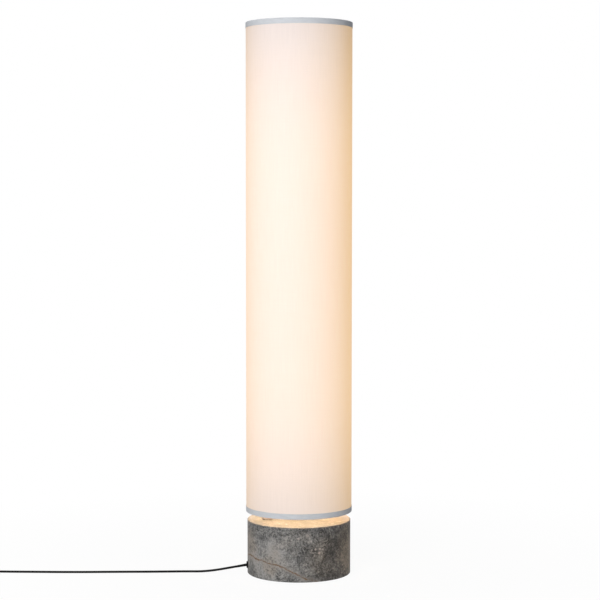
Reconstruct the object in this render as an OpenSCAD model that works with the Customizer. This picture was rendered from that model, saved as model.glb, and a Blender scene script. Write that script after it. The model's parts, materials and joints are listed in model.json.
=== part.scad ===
// Column floor lamp: a tall lit fabric tube that hangs over a round marble drum.
// Millimetres, +Z up. The origin is the centre of the foot ring's underside.
// The mains cord and the dimmer share one radial line of the drum, the service line.

/* [Marble drum] */
// Diameter of the drum
base_d = 226; // [214:1:240]
// Height of the drum
base_h = 118; // [100:1:150]
// Chamfer along the drum's top and bottom edges
base_arris = 0.8; // [0.3:0.1:2]
// Diameter of the pocket in the underside
pocket_d = 150; // [146:1:156]
// Height of the pocket above the bottom plate
pocket_h = 55; // [48:1:70]
// Direction of the service line, in degrees from +X
service_azimuth = 186; // [180:1:192]

/* [Bottom plate and foot] */
// Width of the marble rim outside the bottom plate
rim_w = 11; // [9:0.5:14]
// Thickness of the bottom plate
plate_t = 2; // [1.5:0.1:3]
// Width of the felt foot ring
foot_w = 10.5; // [8:0.5:12]
// Thickness of the felt foot ring
foot_t = 3; // [2:0.1:4]
// How far the foot ring stands out of the drum
foot_proud = 1; // [0.5:0.1:1.5]
// Distance of the plate screws from the pocket's edge
plate_screw_inset = 9; // [7:0.5:11]
// Thread diameter of the plate screws
plate_screw_d = 4; // [3:0.1:5]
// Length of the plate screws
plate_screw_l = 12; // [8:0.5:16]
// Outer diameter of the threaded inserts
insert_d = 6; // [5.6:0.1:7]
// Length of the threaded inserts
insert_l = 10; // [8:0.5:14]

/* [Stem fixing] */
// Diameter of the stem socket's flange
flange_d = 42; // [40:1:60]
// Thickness of the stem socket's flange
flange_t = 5; // [4:0.5:8]
// Diameter of the stem socket's boss
boss_d = 32; // [28:0.5:40]
// Height of the stem socket, flange and boss together
socket_h = 27; // [25:0.5:34]
// Depth of the square socket that holds the core
socket_depth = 16; // [12:0.5:18]
// Outer diameter of the threaded rod
rod_d = 12; // [10:0.5:12.5]
// Bore of the threaded rod
rod_bore = 7; // [6:0.5:8]
// Diameter of the rod washer
rod_washer_d = 36; // [28:1:44]
// Thickness of the rod washer
rod_washer_t = 2.5; // [2:0.1:4]
// Width across flats of the rod nut
rod_nut_af = 19; // [17:0.5:24]
// Height of the rod nut
rod_nut_h = 8; // [6:0.5:10]
// Diameter of the two grub screws in the socket
socket_screw_d = 4; // [3:0.1:5]

/* [Light column] */
// Side of the square core
core_w = 16; // [14:0.1:17]
// Wall of the square core
core_t = 1.5; // [1:0.1:2]
// Width of one LED board
board_w = 10; // [8:0.5:12]
// Thickness of one LED board
board_t = 1.6; // [1:0.1:2]
// Side of one LED package
led_w = 5; // [3:0.5:6]
// Height of one LED package
led_t = 0.8; // [0.5:0.1:1.2]
// Number of LED packages on each board
led_count = 24; // [12:1:36]
// Outer diameter of the opal diffuser tube
diffuser_d = 40; // [36:1:42]
// Wall of the diffuser tube
diffuser_t = 2; // [1.5:0.1:3]
// Diameter of the diffuser's end caps
cap_d = 42; // [42:0.5:44]
// Thickness of the end caps outside the tube
cap_t = 4; // [3:0.5:6]
// Depth of the end caps' spigots in the tube
spigot_h = 6; // [4:0.5:10]
// Diameter of the collar that carries the shade
collar_d = 26; // [24:0.5:32]
// Height of that collar
collar_h = 8; // [6:0.5:12]
// Depth of the core cap's plug in the core
plug_in_h = 20; // [12:1:30]
// Diameter of the shade stud
stud_d = 8; // [6:0.5:10]
// Height of the shade stud above the collar
stud_h = 14.5; // [14:0.1:16]

/* [Shade] */
// Diameter of the shade over its trim
shade_d = 232; // [220:1:250]
// Height of the shade
shade_h = 1063; // [700:1:1400]
// Gap between the drum and the shade
shade_gap = 18; // [15:0.5:30]
// Thickness of the fabric
fabric_t = 0.5; // [0.3:0.05:0.8]
// Thickness of the liner
liner_t = 0.6; // [0.4:0.05:1]
// Thickness of the trim tape
trim_t = 0.4; // [0.3:0.05:0.6]
// Width of the trim tape on the outside
trim_w = 12; // [9:0.5:16]
// Diameter of the frame wire
wire_d = 3; // [2.5:0.1:3.5]
// Number of spokes in each wire frame
spokes = 3; // [3:1:4]
// Depth of the top hub's seat below the shade's rim
hub_drop = 30; // [26:0.5:40]
// Diameter of the top hub
hub_d = 32; // [30:0.5:40]
// Thickness of the top hub
hub_t = 2.5; // [2:0.1:4]
// Inner diameter of the lower guide ring
guide_d = 46; // [45.5:0.5:52]
// Width of the lower guide ring
guide_w = 3; // [2.5:0.1:4]
// Rise of the lower guide ring above the shade's bottom ring
guide_rise = 26; // [24:0.5:32]

/* [Shade nut] */
// Diameter of the shade nut
nut_d = 20; // [16:0.5:21]
// Height of the shade nut
nut_h = 9; // [7:0.5:10]
// Number of knurls round the shade nut
knurls = 30; // [20:1:36]
// Diameter of the captive washer
nut_washer_d = 22; // [18:0.5:23]
// Thickness of the captive washer
nut_washer_t = 1.5; // [1:0.1:2]

/* [Dimmer] */
// Distance of the knob from the lamp's axis
knob_r = 69; // [66:0.5:72]
// Diameter of the knob
knob_d = 24; // [21.5:0.5:28]
// Height of the knob
knob_h = 11; // [9:0.5:13]
// Gap under the knob
knob_gap = 1.1; // [1:0.05:1.5]
// Chamfer on the knob's top edge
knob_chamfer = 0.7; // [0.3:0.1:1.2]
// Diameter of the well in the drum that holds the dimmer
well_d = 46; // [44:0.5:48]
// Marble left above the well
web_t = 12; // [10:0.5:13]
// Side of the dimmer housing
housing_w = 30; // [28:0.5:30]
// Height of the dimmer housing
housing_h = 26; // [25:0.5:30]
// Wall of the dimmer housing
housing_t = 1.5; // [1.2:0.1:2]
// Diameter of the threaded bush
bush_d = 10; // [9:0.5:11]
// Height of the threaded bush above the drum
bush_rise = 4; // [3.8:0.1:4.2]
// Diameter of the dimmer shaft
shaft_d = 6; // [5:0.1:6.5]
// Thickness of the washer under the dimmer nut
dimmer_washer_t = 0.6; // [0.5:0.1:0.8]
// Width across flats of the dimmer nut
dimmer_nut_af = 14; // [13:0.1:14.5]
// Height of the dimmer nut
dimmer_nut_h = 2.5; // [2:0.1:2.8]
// Diameter of the switch plunger
plunger_d = 9; // [8:0.1:10]
// Height of the switch plunger
plunger_h = 8; // [7:0.1:9]
// Diameter of the plunger spring's wire
spring_wire_d = 0.9; // [0.6:0.1:1]
// Diameter of the knob's grub screw
knob_screw_d = 3; // [2.5:0.1:3.5]

/* [Electrics] */
// Length of the LED driver
driver_l = 100; // [80:1:102]
// Width of the LED driver
driver_w = 40; // [34:1:42]
// Height of the LED driver
driver_h = 22; // [18:0.5:24]
// Distance of the driver's near side from the lamp's axis
driver_y = 12; // [11:0.5:13]
// Length of the terminal block
block_l = 24; // [18:0.5:26]
// Width of the terminal block
block_w = 18; // [16:0.5:20]
// Height of the terminal block
block_h = 14; // [12:0.5:16]
// Diameter of the thin leads in the drum
lead_d = 4; // [3:0.1:4.5]
// Diameter of the LED lead
led_lead_d = 3; // [2:0.1:3.5]

/* [Mains cord] */
// Diameter of the cord
cord_d = 5; // [4.6:0.1:5.2]
// Height of the cord's exit above the floor
exit_z = 18.8; // [16:0.1:24]
// Diameter of the gland's flange
gland_d = 15; // [13:0.5:18]
// Thickness of the gland's flange
gland_t = 2.4; // [1.5:0.1:4]
// Diameter of the gland's barrel in the marble
barrel_d = 10; // [9:0.1:11]
// Length of the strain relief outside the flange
relief_l = 20; // [16:1:30]
// Diameter of the strain relief at the flange
relief_d = 6.6; // [6.4:0.1:9]
// Droop of the strain relief, in degrees
relief_droop = 8.5; // [4:0.5:12]
// Thickness of the plug's body
plug_t = 13.7; // [12:0.1:14]
// Width of the plug's body
plug_w = 35; // [32:0.5:36]
// Length of the plug's body
plug_l = 36; // [34:0.5:40]
// Length of the plug's sleeve
plug_sleeve_l = 16; // [14:0.5:20]
// Diameter of the plug's pins
pin_d = 4; // [4:0.1:4.8]
// Diameter of the pins' roots in the body
pin_root_d = 3; // [2.5:0.1:3.4]
// Length of the plug's pins outside the body
pin_l = 19; // [19:0.5:20]
// Distance between the pins
pin_pitch = 18.6; // [17.5:0.1:19]

/* [Hidden] */
$fn = 96;

// Clearances: an easy assembly fit, a running fit, and a cut that passes right through.
slip = 0.1;
run = 0.05;
past = 1;

// Bottom plate and its screws.
plate_d = base_d - 2 * rim_w;
plate_screw_r = pocket_d / 2 + plate_screw_inset;

// Heights in the drum, from the floor up.
plate_z = foot_t;
pocket_z = plate_z + plate_t;
pocket_roof = pocket_z + pocket_h;
base_top = foot_proud + base_h;
well_roof = base_top - web_t;

// Rod, washer and nut under the pocket's roof.
rod_hole_d = rod_d + 1;
rod_washer_z = pocket_roof - rod_washer_t;
rod_nut_z = rod_washer_z - rod_nut_h;
rod_z = rod_nut_z - 3;
socket_top = base_top + socket_h;
core_z = socket_top - socket_depth;
rod_top = core_z - 0.5;
socket_screw_z = (core_z + socket_top) / 2;

// Shade levels and radii.
shade_z = base_top + shade_gap;
shade_top = shade_z + shade_h;
trim_r = shade_d / 2;
fabric_r = trim_r - trim_t;
liner_r = fabric_r - fabric_t;
liner_in_r = liner_r - liner_t;
ring_r = liner_in_r - wire_d / 2 - slip;
ring_inset = trim_t + wire_d / 2 + slip;
flap_r = ring_r - wire_d / 2 - slip;
flap_bend = 2 * ring_inset;
weld_inset = 0.5;
hub_z = shade_top - hub_drop;

// Light column levels.
core_top = hub_z - collar_h;
diffuser_z = socket_top + cap_t;
diffuser_top = core_top - cap_t;
diffuser_bore = diffuser_d - 2 * diffuser_t;
lead_hole_z = diffuser_z + spigot_h + 4;
board_z = lead_hole_z + led_lead_d / 2 + 0.3;
board_l = diffuser_top - spigot_h - 6 - board_z;
stud_bore = stud_d + 2 * run;

// Shade nut levels.
nut_washer_z = hub_z + hub_t;
nut_z = nut_washer_z + nut_washer_t;

// Dimmer levels.
housing_z = well_roof - housing_h;
cover_t = 2;
cavity_z = housing_z + cover_t;
cavity_top = well_roof - housing_t;
bush_top = base_top + bush_rise;
nut_seat_z = base_top + dimmer_washer_t;
knob_z = base_top + knob_gap;
shaft_top = knob_z + knob_h - 2;
plunger_z = cavity_z + 7;
plunger_top = plunger_z + plunger_h;
tip_d = 4;
tip_z = plunger_top - 4;
rotor_z = plunger_top + 1.5;
push_travel = 0.8;
knob_recess_h = bush_rise - knob_gap + push_travel + 0.9;
knob_screw_z = bush_top + push_travel + 3;

// Electrics in the drum, on the bottom plate. X runs outward along the service line.
block_x = knob_r - 45;
clamp_x = knob_r - 13;
clamp_l = 12;
clamp_w = 24;
clamp_h = 9;
tail_z = pocket_z + cord_d / 2 + 0.7;
driver_x = driver_l / 2;
driver_mid_y = driver_y + driver_w / 2;
driver_mid_z = pocket_z + driver_h / 2;
tab_l = 8;
tab_t = 2;
small_screw_d = 3;

// Cord exit: the gland's barrel ends in the dimmer's well.
barrel_end = knob_r + well_d / 2 - 5;
relief_tip_d = cord_d + 0.4;
exit_dir = [
  cos(service_azimuth) * cos(relief_droop),
  sin(service_azimuth) * cos(relief_droop),
  -sin(relief_droop)
];
exit_root = [base_d / 2 * cos(service_azimuth), base_d / 2 * sin(service_azimuth), exit_z];
exit_point = exit_root + (gland_t + relief_l) * exit_dir;

// Coil: two layers of loops, wound clockwise inward, then outward on top.
coil_x = -722;
coil_y = 29.4;
coil_lift = 1;
coil_pitch = cord_d + 0.6;
loops_per_layer = 3.375;
coil_out_r = 40.4;
coil_in_r = coil_out_r - coil_pitch * loops_per_layer;
coil_loops = 2 * loops_per_layer + 0.5;
coil_z = coil_lift + cord_d / 2;
coil_lead = 6;
pin_root_l = 8;
plug_z = plug_t / 2;
plug_y = coil_y + 22;
plug_x = coil_x - coil_out_r;
coil_start = [coil_x + coil_lead, coil_y - coil_out_r, coil_z];

// Route of the free cord's centre: down to the floor, then along it.
cord_route = [
  exit_point,
  exit_point + 3 * exit_dir,
  exit_point + 6 * exit_dir,
  [-152, -15, 12.6],
  [-165, -14.2, 10.1],
  [-178, -12.8, 7.7],
  [-191, -11.2, 5.6],
  [-204, -9.6, 4],
  [-218, -8.2, 2.9],
  [-232, -7.4, 2.65],
  [-258, -7.2, 2.55],
  [-284, -8.4, 2.55],
  [-310, -9.6, 2.55],
  [-336, -10.5, 2.55],
  [-364, -11, 2.55],
  [-392, -11.5, 2.55],
  [-422, -12.4, 2.55],
  [-452, -13.4, 2.55],
  [-482, -14, 2.55],
  [-512, -14, 2.55],
  [-542, -13.4, 2.55],
  [-572, -12.4, 2.55],
  [-602, -11.5, 2.55],
  [-632, -11, 2.65],
  [-660, -11, 3],
  [-688, -11, 3.5],
  coil_start + [12, 0, 0],
  coil_start
];

// Routes of the leads in the drum. The tail's and the dimmer lead's are in the service line's frame.
function on_line(x, y, z) = [
  x * cos(service_azimuth) - y * sin(service_azimuth),
  x * sin(service_azimuth) + y * cos(service_azimuth),
  z
];
lead_z = 12;
block_end = block_x + block_l;
driver_end = driver_x - tab_l;
tail_route = [
  [barrel_end, 0, exit_z],
  [barrel_end - 3, 0, exit_z],
  [barrel_end - 6, 0, exit_z],
  [barrel_end - 12, 0, (exit_z + tail_z) / 2],
  [clamp_x + clamp_l + 2, 0, tail_z],
  [clamp_x + clamp_l, 0, tail_z],
  [clamp_x, 0, tail_z],
  [clamp_x - 2, 0, tail_z],
  [block_end, 0, tail_z]
];
dimmer_lead_route = [
  [knob_r - 9, -9, housing_z],
  [knob_r - 9, -9, housing_z - 4],
  [knob_r - 9, -9, housing_z - 8],
  [knob_r - 11, -11, housing_z - 30],
  [knob_r - 14, -16, 30],
  [knob_r - 14, -15.5, 20],
  [knob_r - 16, -9, 15.5],
  [block_end + 3.5, -6, lead_z + 1],
  [block_end + 2, -6, lead_z + 1],
  [block_end + 1, -6, lead_z + 1],
  [block_end, -6, lead_z + 1]
];
driver_lead_route = [
  on_line(block_x, 3, lead_z),
  on_line(block_x - 3, 3, lead_z),
  on_line(block_x - 6, 3, lead_z),
  [0, -6, lead_z],
  [20, -7, lead_z],
  [40, -4, lead_z],
  [driver_x + 5, 6, lead_z],
  [driver_x + 8, 15, lead_z + 1],
  [driver_x + 3, driver_mid_y - 10, lead_z + 2],
  [driver_x - 2, driver_mid_y - 9, lead_z + 2],
  [driver_end + 2, driver_mid_y - 9, lead_z + 2],
  [driver_end, driver_mid_y - 9, lead_z + 2]
];
led_lead_route = [
  [-driver_end, driver_mid_y, driver_mid_z],
  [-driver_end - 3, driver_mid_y, driver_mid_z],
  [-driver_end - 6, driver_mid_y, driver_mid_z],
  [-driver_x - 5, driver_mid_y - 3, driver_mid_z + 3],
  [-driver_x - 7, driver_mid_y - 10, driver_mid_z + 11],
  [-driver_x, driver_mid_y - 18, pocket_z + driver_h + 5],
  [-34, 9, rod_z - 9],
  [-14, 2.5, rod_z - 8],
  [-4, 0.4, rod_z - 5],
  [0, 0, rod_z + 2],
  [0, 0, (rod_z + rod_top) / 2],
  [0, 0, rod_top],
  [0.5, 0, lead_hole_z - 14],
  [2.2, 0, lead_hole_z - 6],
  [5.5, 0, lead_hole_z - 1],
  [core_w / 2 - 1, 0, lead_hole_z],
  [core_w / 2 + board_t, 0, lead_hole_z]
];

// Vectors, paths and swept tubes.
function unit(v) = v / norm(v);
function lift_axis(t) = abs(t.z) < 0.9 ? [0, 0, 1] : [1, 0, 0];
function square_to(v, t) = unit(v - (v * t) * t);
function bend(a, b, c, d, u) =
  0.5 * (2 * b + (c - a) * u + (2 * a - 5 * b + 4 * c - d) * u * u + (3 * b - a - 3 * c + d) * u * u * u);
function smooth(p, steps) = [
  for (i = [0 : len(p) - 2], k = [0 : steps - 1])
    bend(p[max(i - 1, 0)], p[i], p[i + 1], p[min(i + 2, len(p) - 1)], k / steps),
  p[len(p) - 1]
];
function headings(p) = [
  for (i = [0 : len(p) - 1]) unit(p[min(i + 1, len(p) - 1)] - p[max(i - 1, 0)])
];
function sides_of(t, i, n) =
  i == len(t) ? [] : let (m = square_to(n, t[i])) concat([m], sides_of(t, i + 1, m));
function ring(p, t, n, r, count) = [
  for (k = [0 : count - 1]) p + r * (cos(360 * k / count) * n + sin(360 * k / count) * cross(t, n))
];

module swept_tube(p, d, count) {
  t = headings(p);
  n = sides_of(t, 0, square_to(lift_axis(t[0]), t[0]));
  points = [for (i = [0 : len(p) - 1]) each ring(p[i], t[i], n[i], d / 2, count)];
  last = (len(p) - 1) * count;
  walls = [
    for (i = [0 : len(p) - 2], k = [0 : count - 1])
      let (a = i * count + k, b = i * count + (k + 1) % count)
        each [[a, b + count, b], [a, a + count, b + count]]
  ];
  near_end = [for (k = [1 : count - 2]) [0, k, k + 1]];
  far_end = [for (k = [1 : count - 2]) [last, last + k + 1, last + k]];
  polyhedron(points, concat(walls, near_end, far_end), convexity = 10);
}

// The coil's centreline, one point for each 24th of a loop.
function coil_r(t) =
  let (s = t - loops_per_layer)
    s <= 0 ? coil_out_r - coil_pitch * t
    : s < 0.5 ? coil_in_r - coil_pitch * s * (1 - 2 * s)
    : coil_in_r + coil_pitch * (s - 0.5);
function coil_h(t) = coil_z + coil_pitch * min(max(2 * (t - loops_per_layer), 0), 1);
function coil_at(t) =
  [coil_x, coil_y, coil_h(t)] + coil_r(t) * [cos(-90 - 360 * t), sin(-90 - 360 * t), 0];
coil_loop_points = [for (i = [0 : round(24 * coil_loops)]) coil_at(i / 24)];
coil_end = coil_at(coil_loops);
coil_route = concat(
  [coil_start],
  coil_loop_points,
  [
    coil_end + [0, 5, 0],
    [plug_x, coil_y + 11, (coil_end.z + plug_z) / 2],
    [plug_x, plug_y - 5, plug_z],
    [plug_x, plug_y, plug_z]
  ]
);
coil_self_gap = min([
  for (i = [0 : len(coil_loop_points) - 1], j = [i + 12 : 1 : len(coil_loop_points) - 1])
    norm(coil_loop_points[i] - coil_loop_points[j])
]) - cord_d;
echo(coil_self_gap = coil_self_gap);

// A round bar from p to q.
module bar(p, q, d) {
  v = q - p;
  translate(p)
    rotate([0, acos(v.z / norm(v)), atan2(v.y, v.x)])
      cylinder(h = norm(v), d = d);
}
module on_service_line() rotate([0, 0, service_azimuth]) children();
module at_dimmer() on_service_line() translate([knob_r, 0, 0]) children();
module plate_screw_places() for (a = [45 : 90 : 315]) rotate([0, 0, a]) translate([plate_screw_r, 0, 0]) children();
module driver_screw_places() for (s = [-1, 1]) translate([s * (driver_x - tab_l / 2), driver_mid_y, 0]) children();
module clamp_screw_places() for (s = [-1, 1]) translate([clamp_x + clamp_l / 2, s * (clamp_w / 2 - 4), 0]) children();
module pan_screw(d, l, head_h) {
  cylinder(h = head_h, d = 2 * d);
  translate([0, 0, -l]) cylinder(h = l + head_h / 2, d = d);
}
module hex_nut(af, h, bore) {
  difference() {
    cylinder(h = h, d = af / cos(30), $fn = 6);
    translate([0, 0, -past]) cylinder(h = h + 2 * past, d = bore);
  }
}

// Drum
module marble_base() {
  r = base_d / 2;
  recess_r = plate_d / 2 + 0.5;
  color("dimgray") difference() {
    rotate_extrude() polygon([
      [0, pocket_roof], [pocket_d / 2, pocket_roof], [pocket_d / 2, pocket_z], [recess_r, pocket_z],
      [recess_r, foot_proud], [r - base_arris, foot_proud], [r, foot_proud + base_arris],
      [r, base_top - base_arris], [r - base_arris, base_top], [0, base_top]
    ]);
    translate([0, 0, pocket_roof - past]) cylinder(h = base_h, d = rod_hole_d);
    at_dimmer() translate([0, 0, foot_proud - past]) cylinder(h = well_roof - foot_proud + past, d = well_d);
    at_dimmer() translate([0, 0, well_roof - past]) cylinder(h = web_t + 2 * past, d = bush_d + 0.6);
    on_service_line() translate([knob_r, 0, exit_z]) rotate([0, 90, 0]) cylinder(h = base_d, d = barrel_d + 2 * slip);
    plate_screw_places() translate([0, 0, pocket_z - past]) cylinder(h = insert_l + past + 3, d = insert_d + 2 * run);
  }
}
module bottom_plate() {
  color("black") difference() {
    translate([0, 0, plate_z]) cylinder(h = plate_t, d = plate_d);
    plate_screw_places() translate([0, 0, plate_z - past]) cylinder(h = plate_t + 2 * past, d = plate_screw_d + 0.4);
    plate_screw_places() screw_head(slip, past);
    driver_screw_places() translate([0, 0, plate_z - past]) cylinder(h = plate_t + 2 * past, d = small_screw_d + 0.1);
    on_service_line() clamp_screw_places()
      translate([0, 0, plate_z - past]) cylinder(h = plate_t + 2 * past, d = small_screw_d + 0.1);
  }
}
module foot_ring() {
  r = plate_d / 2 - 0.5;
  color("darkslategray") rotate_extrude() translate([r - foot_w, 0]) square([foot_w, foot_t]);
}
// A countersunk head, or with room and a lead-in below the plate, the cut for one.
module screw_head(room, below) {
  flare = plate_screw_d / 2 * below / plate_t;
  translate([0, 0, plate_z - below])
    cylinder(h = plate_t + below, r1 = plate_screw_d + flare + room, r2 = plate_screw_d / 2 + room);
}
module plate_screws() {
  color("gray") plate_screw_places() difference() {
    union() {
      screw_head(0, 0);
      translate([0, 0, plate_z]) cylinder(h = plate_screw_l, d = plate_screw_d);
    }
    translate([0, 0, plate_z - past]) cylinder(h = past + 1.2, d = plate_screw_d / 2, $fn = 6);
  }
}
module plate_inserts() {
  color("goldenrod") plate_screw_places() translate([0, 0, pocket_z]) difference() {
    cylinder(h = insert_l, d = insert_d);
    translate([0, 0, -past]) cylinder(h = insert_l + 2 * past, d = plate_screw_d + 2 * run);
  }
}

// Stem fixing
module stem_socket() {
  inner = core_w + 2 * slip;
  color("white") difference() {
    union() {
      translate([0, 0, base_top]) cylinder(h = flange_t, d = flange_d);
      translate([0, 0, base_top]) cylinder(h = socket_h, d = boss_d);
    }
    translate([0, 0, base_top - past]) cylinder(h = socket_h, d = rod_d + 2 * run);
    translate([-inner / 2, -inner / 2, core_z]) cube([inner, inner, socket_depth + past]);
    for (s = [-1, 1]) translate([0, 0, socket_screw_z]) rotate([s * 90, 0, 0])
      cylinder(h = boss_d, d = socket_screw_d + 2 * run);
  }
}
module threaded_rod() {
  color("silver") translate([0, 0, rod_z]) difference() {
    cylinder(h = rod_top - rod_z, d = rod_d);
    translate([0, 0, -past]) cylinder(h = rod_top - rod_z + 2 * past, d = rod_bore);
  }
}
module rod_washer() {
  color("silver") translate([0, 0, rod_washer_z]) difference() {
    cylinder(h = rod_washer_t, d = rod_washer_d);
    translate([0, 0, -past]) cylinder(h = rod_washer_t + 2 * past, d = rod_hole_d);
  }
}
module rod_nut() {
  color("silver") translate([0, 0, rod_nut_z]) hex_nut(rod_nut_af, rod_nut_h, rod_d + 2 * run);
}
module socket_screws() {
  color("gray") for (s = [-1, 1]) translate([0, 0, socket_screw_z]) rotate([s * 90, 0, 0]) difference() {
    translate([0, 0, core_w / 2 + run]) cylinder(h = (boss_d - core_w) / 2 - 0.5, d = socket_screw_d);
    translate([0, 0, boss_d / 2 - 2]) cylinder(h = 3, d = socket_screw_d / 2, $fn = 6);
  }
}

// Electrics in the drum
module led_driver() {
  color("whitesmoke") difference() {
    union() {
      translate([-driver_end, driver_y, pocket_z]) cube([2 * driver_end, driver_w, driver_h]);
      translate([-driver_x, driver_mid_y - 7, pocket_z]) cube([driver_l, 14, tab_t]);
    }
    driver_screw_places() translate([0, 0, pocket_z - past])
      cylinder(h = tab_t + 2 * past, d = small_screw_d + 2 * slip);
  }
}
module driver_screws() {
  color("gray") driver_screw_places() translate([0, 0, pocket_z + tab_t]) pan_screw(small_screw_d, 4, 1.8);
}
module terminal_block() {
  color("ivory") on_service_line() difference() {
    translate([block_x, -block_w / 2, pocket_z]) cube([block_l, block_w, block_h]);
    for (y = [-6, 0, 6], x = [6, block_l - 6]) translate([block_x + x, y, pocket_z + block_h - 4])
      cylinder(h = 4 + past, d = 4);
  }
}
module cord_clamp() {
  color("ivory") on_service_line() difference() {
    translate([clamp_x, -clamp_w / 2, pocket_z]) cube([clamp_l, clamp_w, clamp_h]);
    translate([clamp_x - past, 0, tail_z]) rotate([0, 90, 0]) cylinder(h = clamp_l + 2 * past, d = cord_d + 0.4);
    clamp_screw_places() translate([0, 0, pocket_z - past])
      cylinder(h = clamp_h + 2 * past, d = small_screw_d + 2 * slip);
  }
}
module clamp_screws() {
  color("gray") on_service_line() clamp_screw_places()
    translate([0, 0, pocket_z + clamp_h]) pan_screw(small_screw_d, clamp_h + 2, 1.8);
}
module mains_tail() {
  color("black") on_service_line() swept_tube(smooth(tail_route, 2), cord_d, 8);
}
module dimmer_lead() {
  color("gray") on_service_line() swept_tube(smooth(dimmer_lead_route, 3), lead_d, 8);
}
module driver_lead() {
  color("gray") swept_tube(smooth(driver_lead_route, 3), lead_d, 8);
}
module led_lead() {
  color("gray") swept_tube(smooth(led_lead_route, 3), led_lead_d, 8);
}

// Dimmer
module dimmer_housing() {
  w = housing_w - 2 * housing_t;
  color("black") at_dimmer() difference() {
    union() {
      translate([-housing_w / 2, -housing_w / 2, cavity_z]) cube([housing_w, housing_w, well_roof - cavity_z]);
      translate([0, 0, well_roof - past]) cylinder(h = bush_top - well_roof + past, d = bush_d);
    }
    translate([-w / 2, -w / 2, cavity_z - past]) cube([w, w, cavity_top - cavity_z + past]);
    translate([0, 0, cavity_z]) cylinder(h = bush_top - cavity_z + past, d = shaft_d + 2 * run);
  }
}
module dimmer_cover() {
  color("sienna") at_dimmer() difference() {
    translate([-housing_w / 2, -housing_w / 2, housing_z]) cube([housing_w, housing_w, cover_t]);
    translate([0, 0, housing_z - past]) cylinder(h = cover_t + 2 * past, d = 2);
  }
}
module dimmer_washer() {
  color("silver") at_dimmer() translate([0, 0, base_top]) difference() {
    cylinder(h = dimmer_washer_t, d = dimmer_nut_af + 2);
    translate([0, 0, -past]) cylinder(h = dimmer_washer_t + 2 * past, d = bush_d + 2 * slip);
  }
}
module dimmer_nut() {
  color("silver") at_dimmer() translate([0, 0, nut_seat_z]) hex_nut(dimmer_nut_af, dimmer_nut_h, bush_d + 2 * run);
}
module switch_plunger() {
  color("white") at_dimmer() difference() {
    union() {
      translate([0, 0, plunger_z]) cylinder(h = plunger_h, d = plunger_d);
      translate([0, 0, plunger_z]) cylinder(h = 1.5, d = plunger_d + 3);
    }
    translate([0, 0, tip_z]) cylinder(h = plunger_h, d = tip_d + 2 * run);
  }
}
module plunger_spring() {
  turns = 5;
  rise = plunger_z - cavity_z - spring_wire_d;
  coil = [
    for (i = [0 : 12 * turns]) let (a = 30 * i)
      [3.5 * cos(a), 3.5 * sin(a), cavity_z + spring_wire_d / 2 + rise * i / (12 * turns)]
  ];
  color("silver") at_dimmer() swept_tube(coil, spring_wire_d, 6);
}
module dimmer_shaft() {
  flat_z = bush_top + push_travel + 0.5;
  color("silver") at_dimmer() difference() {
    union() {
      translate([0, 0, tip_z]) cylinder(h = shaft_top - tip_z, d = tip_d);
      translate([0, 0, rotor_z]) cylinder(h = shaft_top - rotor_z, d = shaft_d);
      translate([0, 0, rotor_z]) cylinder(h = 1.6, d = 20);
    }
    translate([-shaft_d, shaft_d / 2 - 1, flat_z]) cube([2 * shaft_d, shaft_d, knob_h]);
  }
}
module dimmer_knob() {
  r = knob_d / 2;
  color("silver") at_dimmer() difference() {
    translate([0, 0, knob_z]) rotate_extrude() polygon([
      [0, 0], [r - 0.3, 0], [r, 0.3], [r, knob_h - knob_chamfer], [r - knob_chamfer, knob_h], [0, knob_h]
    ]);
    translate([0, 0, knob_z - past]) cylinder(h = knob_recess_h + past, d = dimmer_nut_af / cos(30) + 2.2);
    translate([0, 0, knob_z]) cylinder(h = shaft_top - knob_z + slip, d = shaft_d + 2 * run);
    translate([0, 0, knob_screw_z]) rotate([-90, 0, 0]) cylinder(h = knob_d, d = knob_screw_d + 2 * run);
  }
}
module knob_screw() {
  color("gray") at_dimmer() translate([0, shaft_d / 2 - 1 + run, knob_screw_z]) rotate([-90, 0, 0]) difference() {
    cylinder(h = 7, d = knob_screw_d);
    translate([0, 0, 5]) cylinder(h = 3, d = knob_screw_d / 2, $fn = 6);
  }
}

// Light column
module led_core() {
  w = core_w;
  inner = w - 2 * core_t;
  color("silver") difference() {
    translate([-w / 2, -w / 2, core_z]) cube([w, w, core_top - core_z]);
    translate([-inner / 2, -inner / 2, core_z - past]) cube([inner, inner, core_top - core_z + 2 * past]);
    translate([0, 0, lead_hole_z]) rotate([0, 90, 0]) cylinder(h = w, d = led_lead_d + 1);
  }
}
module led_boards() {
  step = board_l / led_count;
  color("lightyellow") for (a = [0 : 90 : 270]) rotate([0, 0, a]) union() {
    translate([core_w / 2, -board_w / 2, board_z]) cube([board_t, board_w, board_l]);
    for (i = [0 : led_count - 1])
      translate([core_w / 2 + board_t - 0.1, -led_w / 2, board_z + (i + 0.5) * step - led_w / 2])
        cube([led_t + 0.1, led_w, led_w]);
  }
}
module diffuser_tube() {
  color("white") translate([0, 0, diffuser_z]) difference() {
    cylinder(h = diffuser_top - diffuser_z, d = diffuser_d);
    translate([0, 0, -past]) cylinder(h = diffuser_top - diffuser_z + 2 * past, d = diffuser_bore);
  }
}
module diffuser_cap() {
  inner = core_w + 2 * slip;
  difference() {
    union() {
      cylinder(h = cap_t, d = cap_d);
      cylinder(h = cap_t + spigot_h, d = diffuser_bore - 2 * slip);
    }
    translate([-inner / 2, -inner / 2, -past]) cube([inner, inner, cap_t + spigot_h + 2 * past]);
  }
}
module diffuser_cap_lower() {
  color("white") translate([0, 0, socket_top]) diffuser_cap();
}
module diffuser_cap_upper() {
  color("white") translate([0, 0, core_top]) mirror([0, 0, 1]) diffuser_cap();
}
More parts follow.
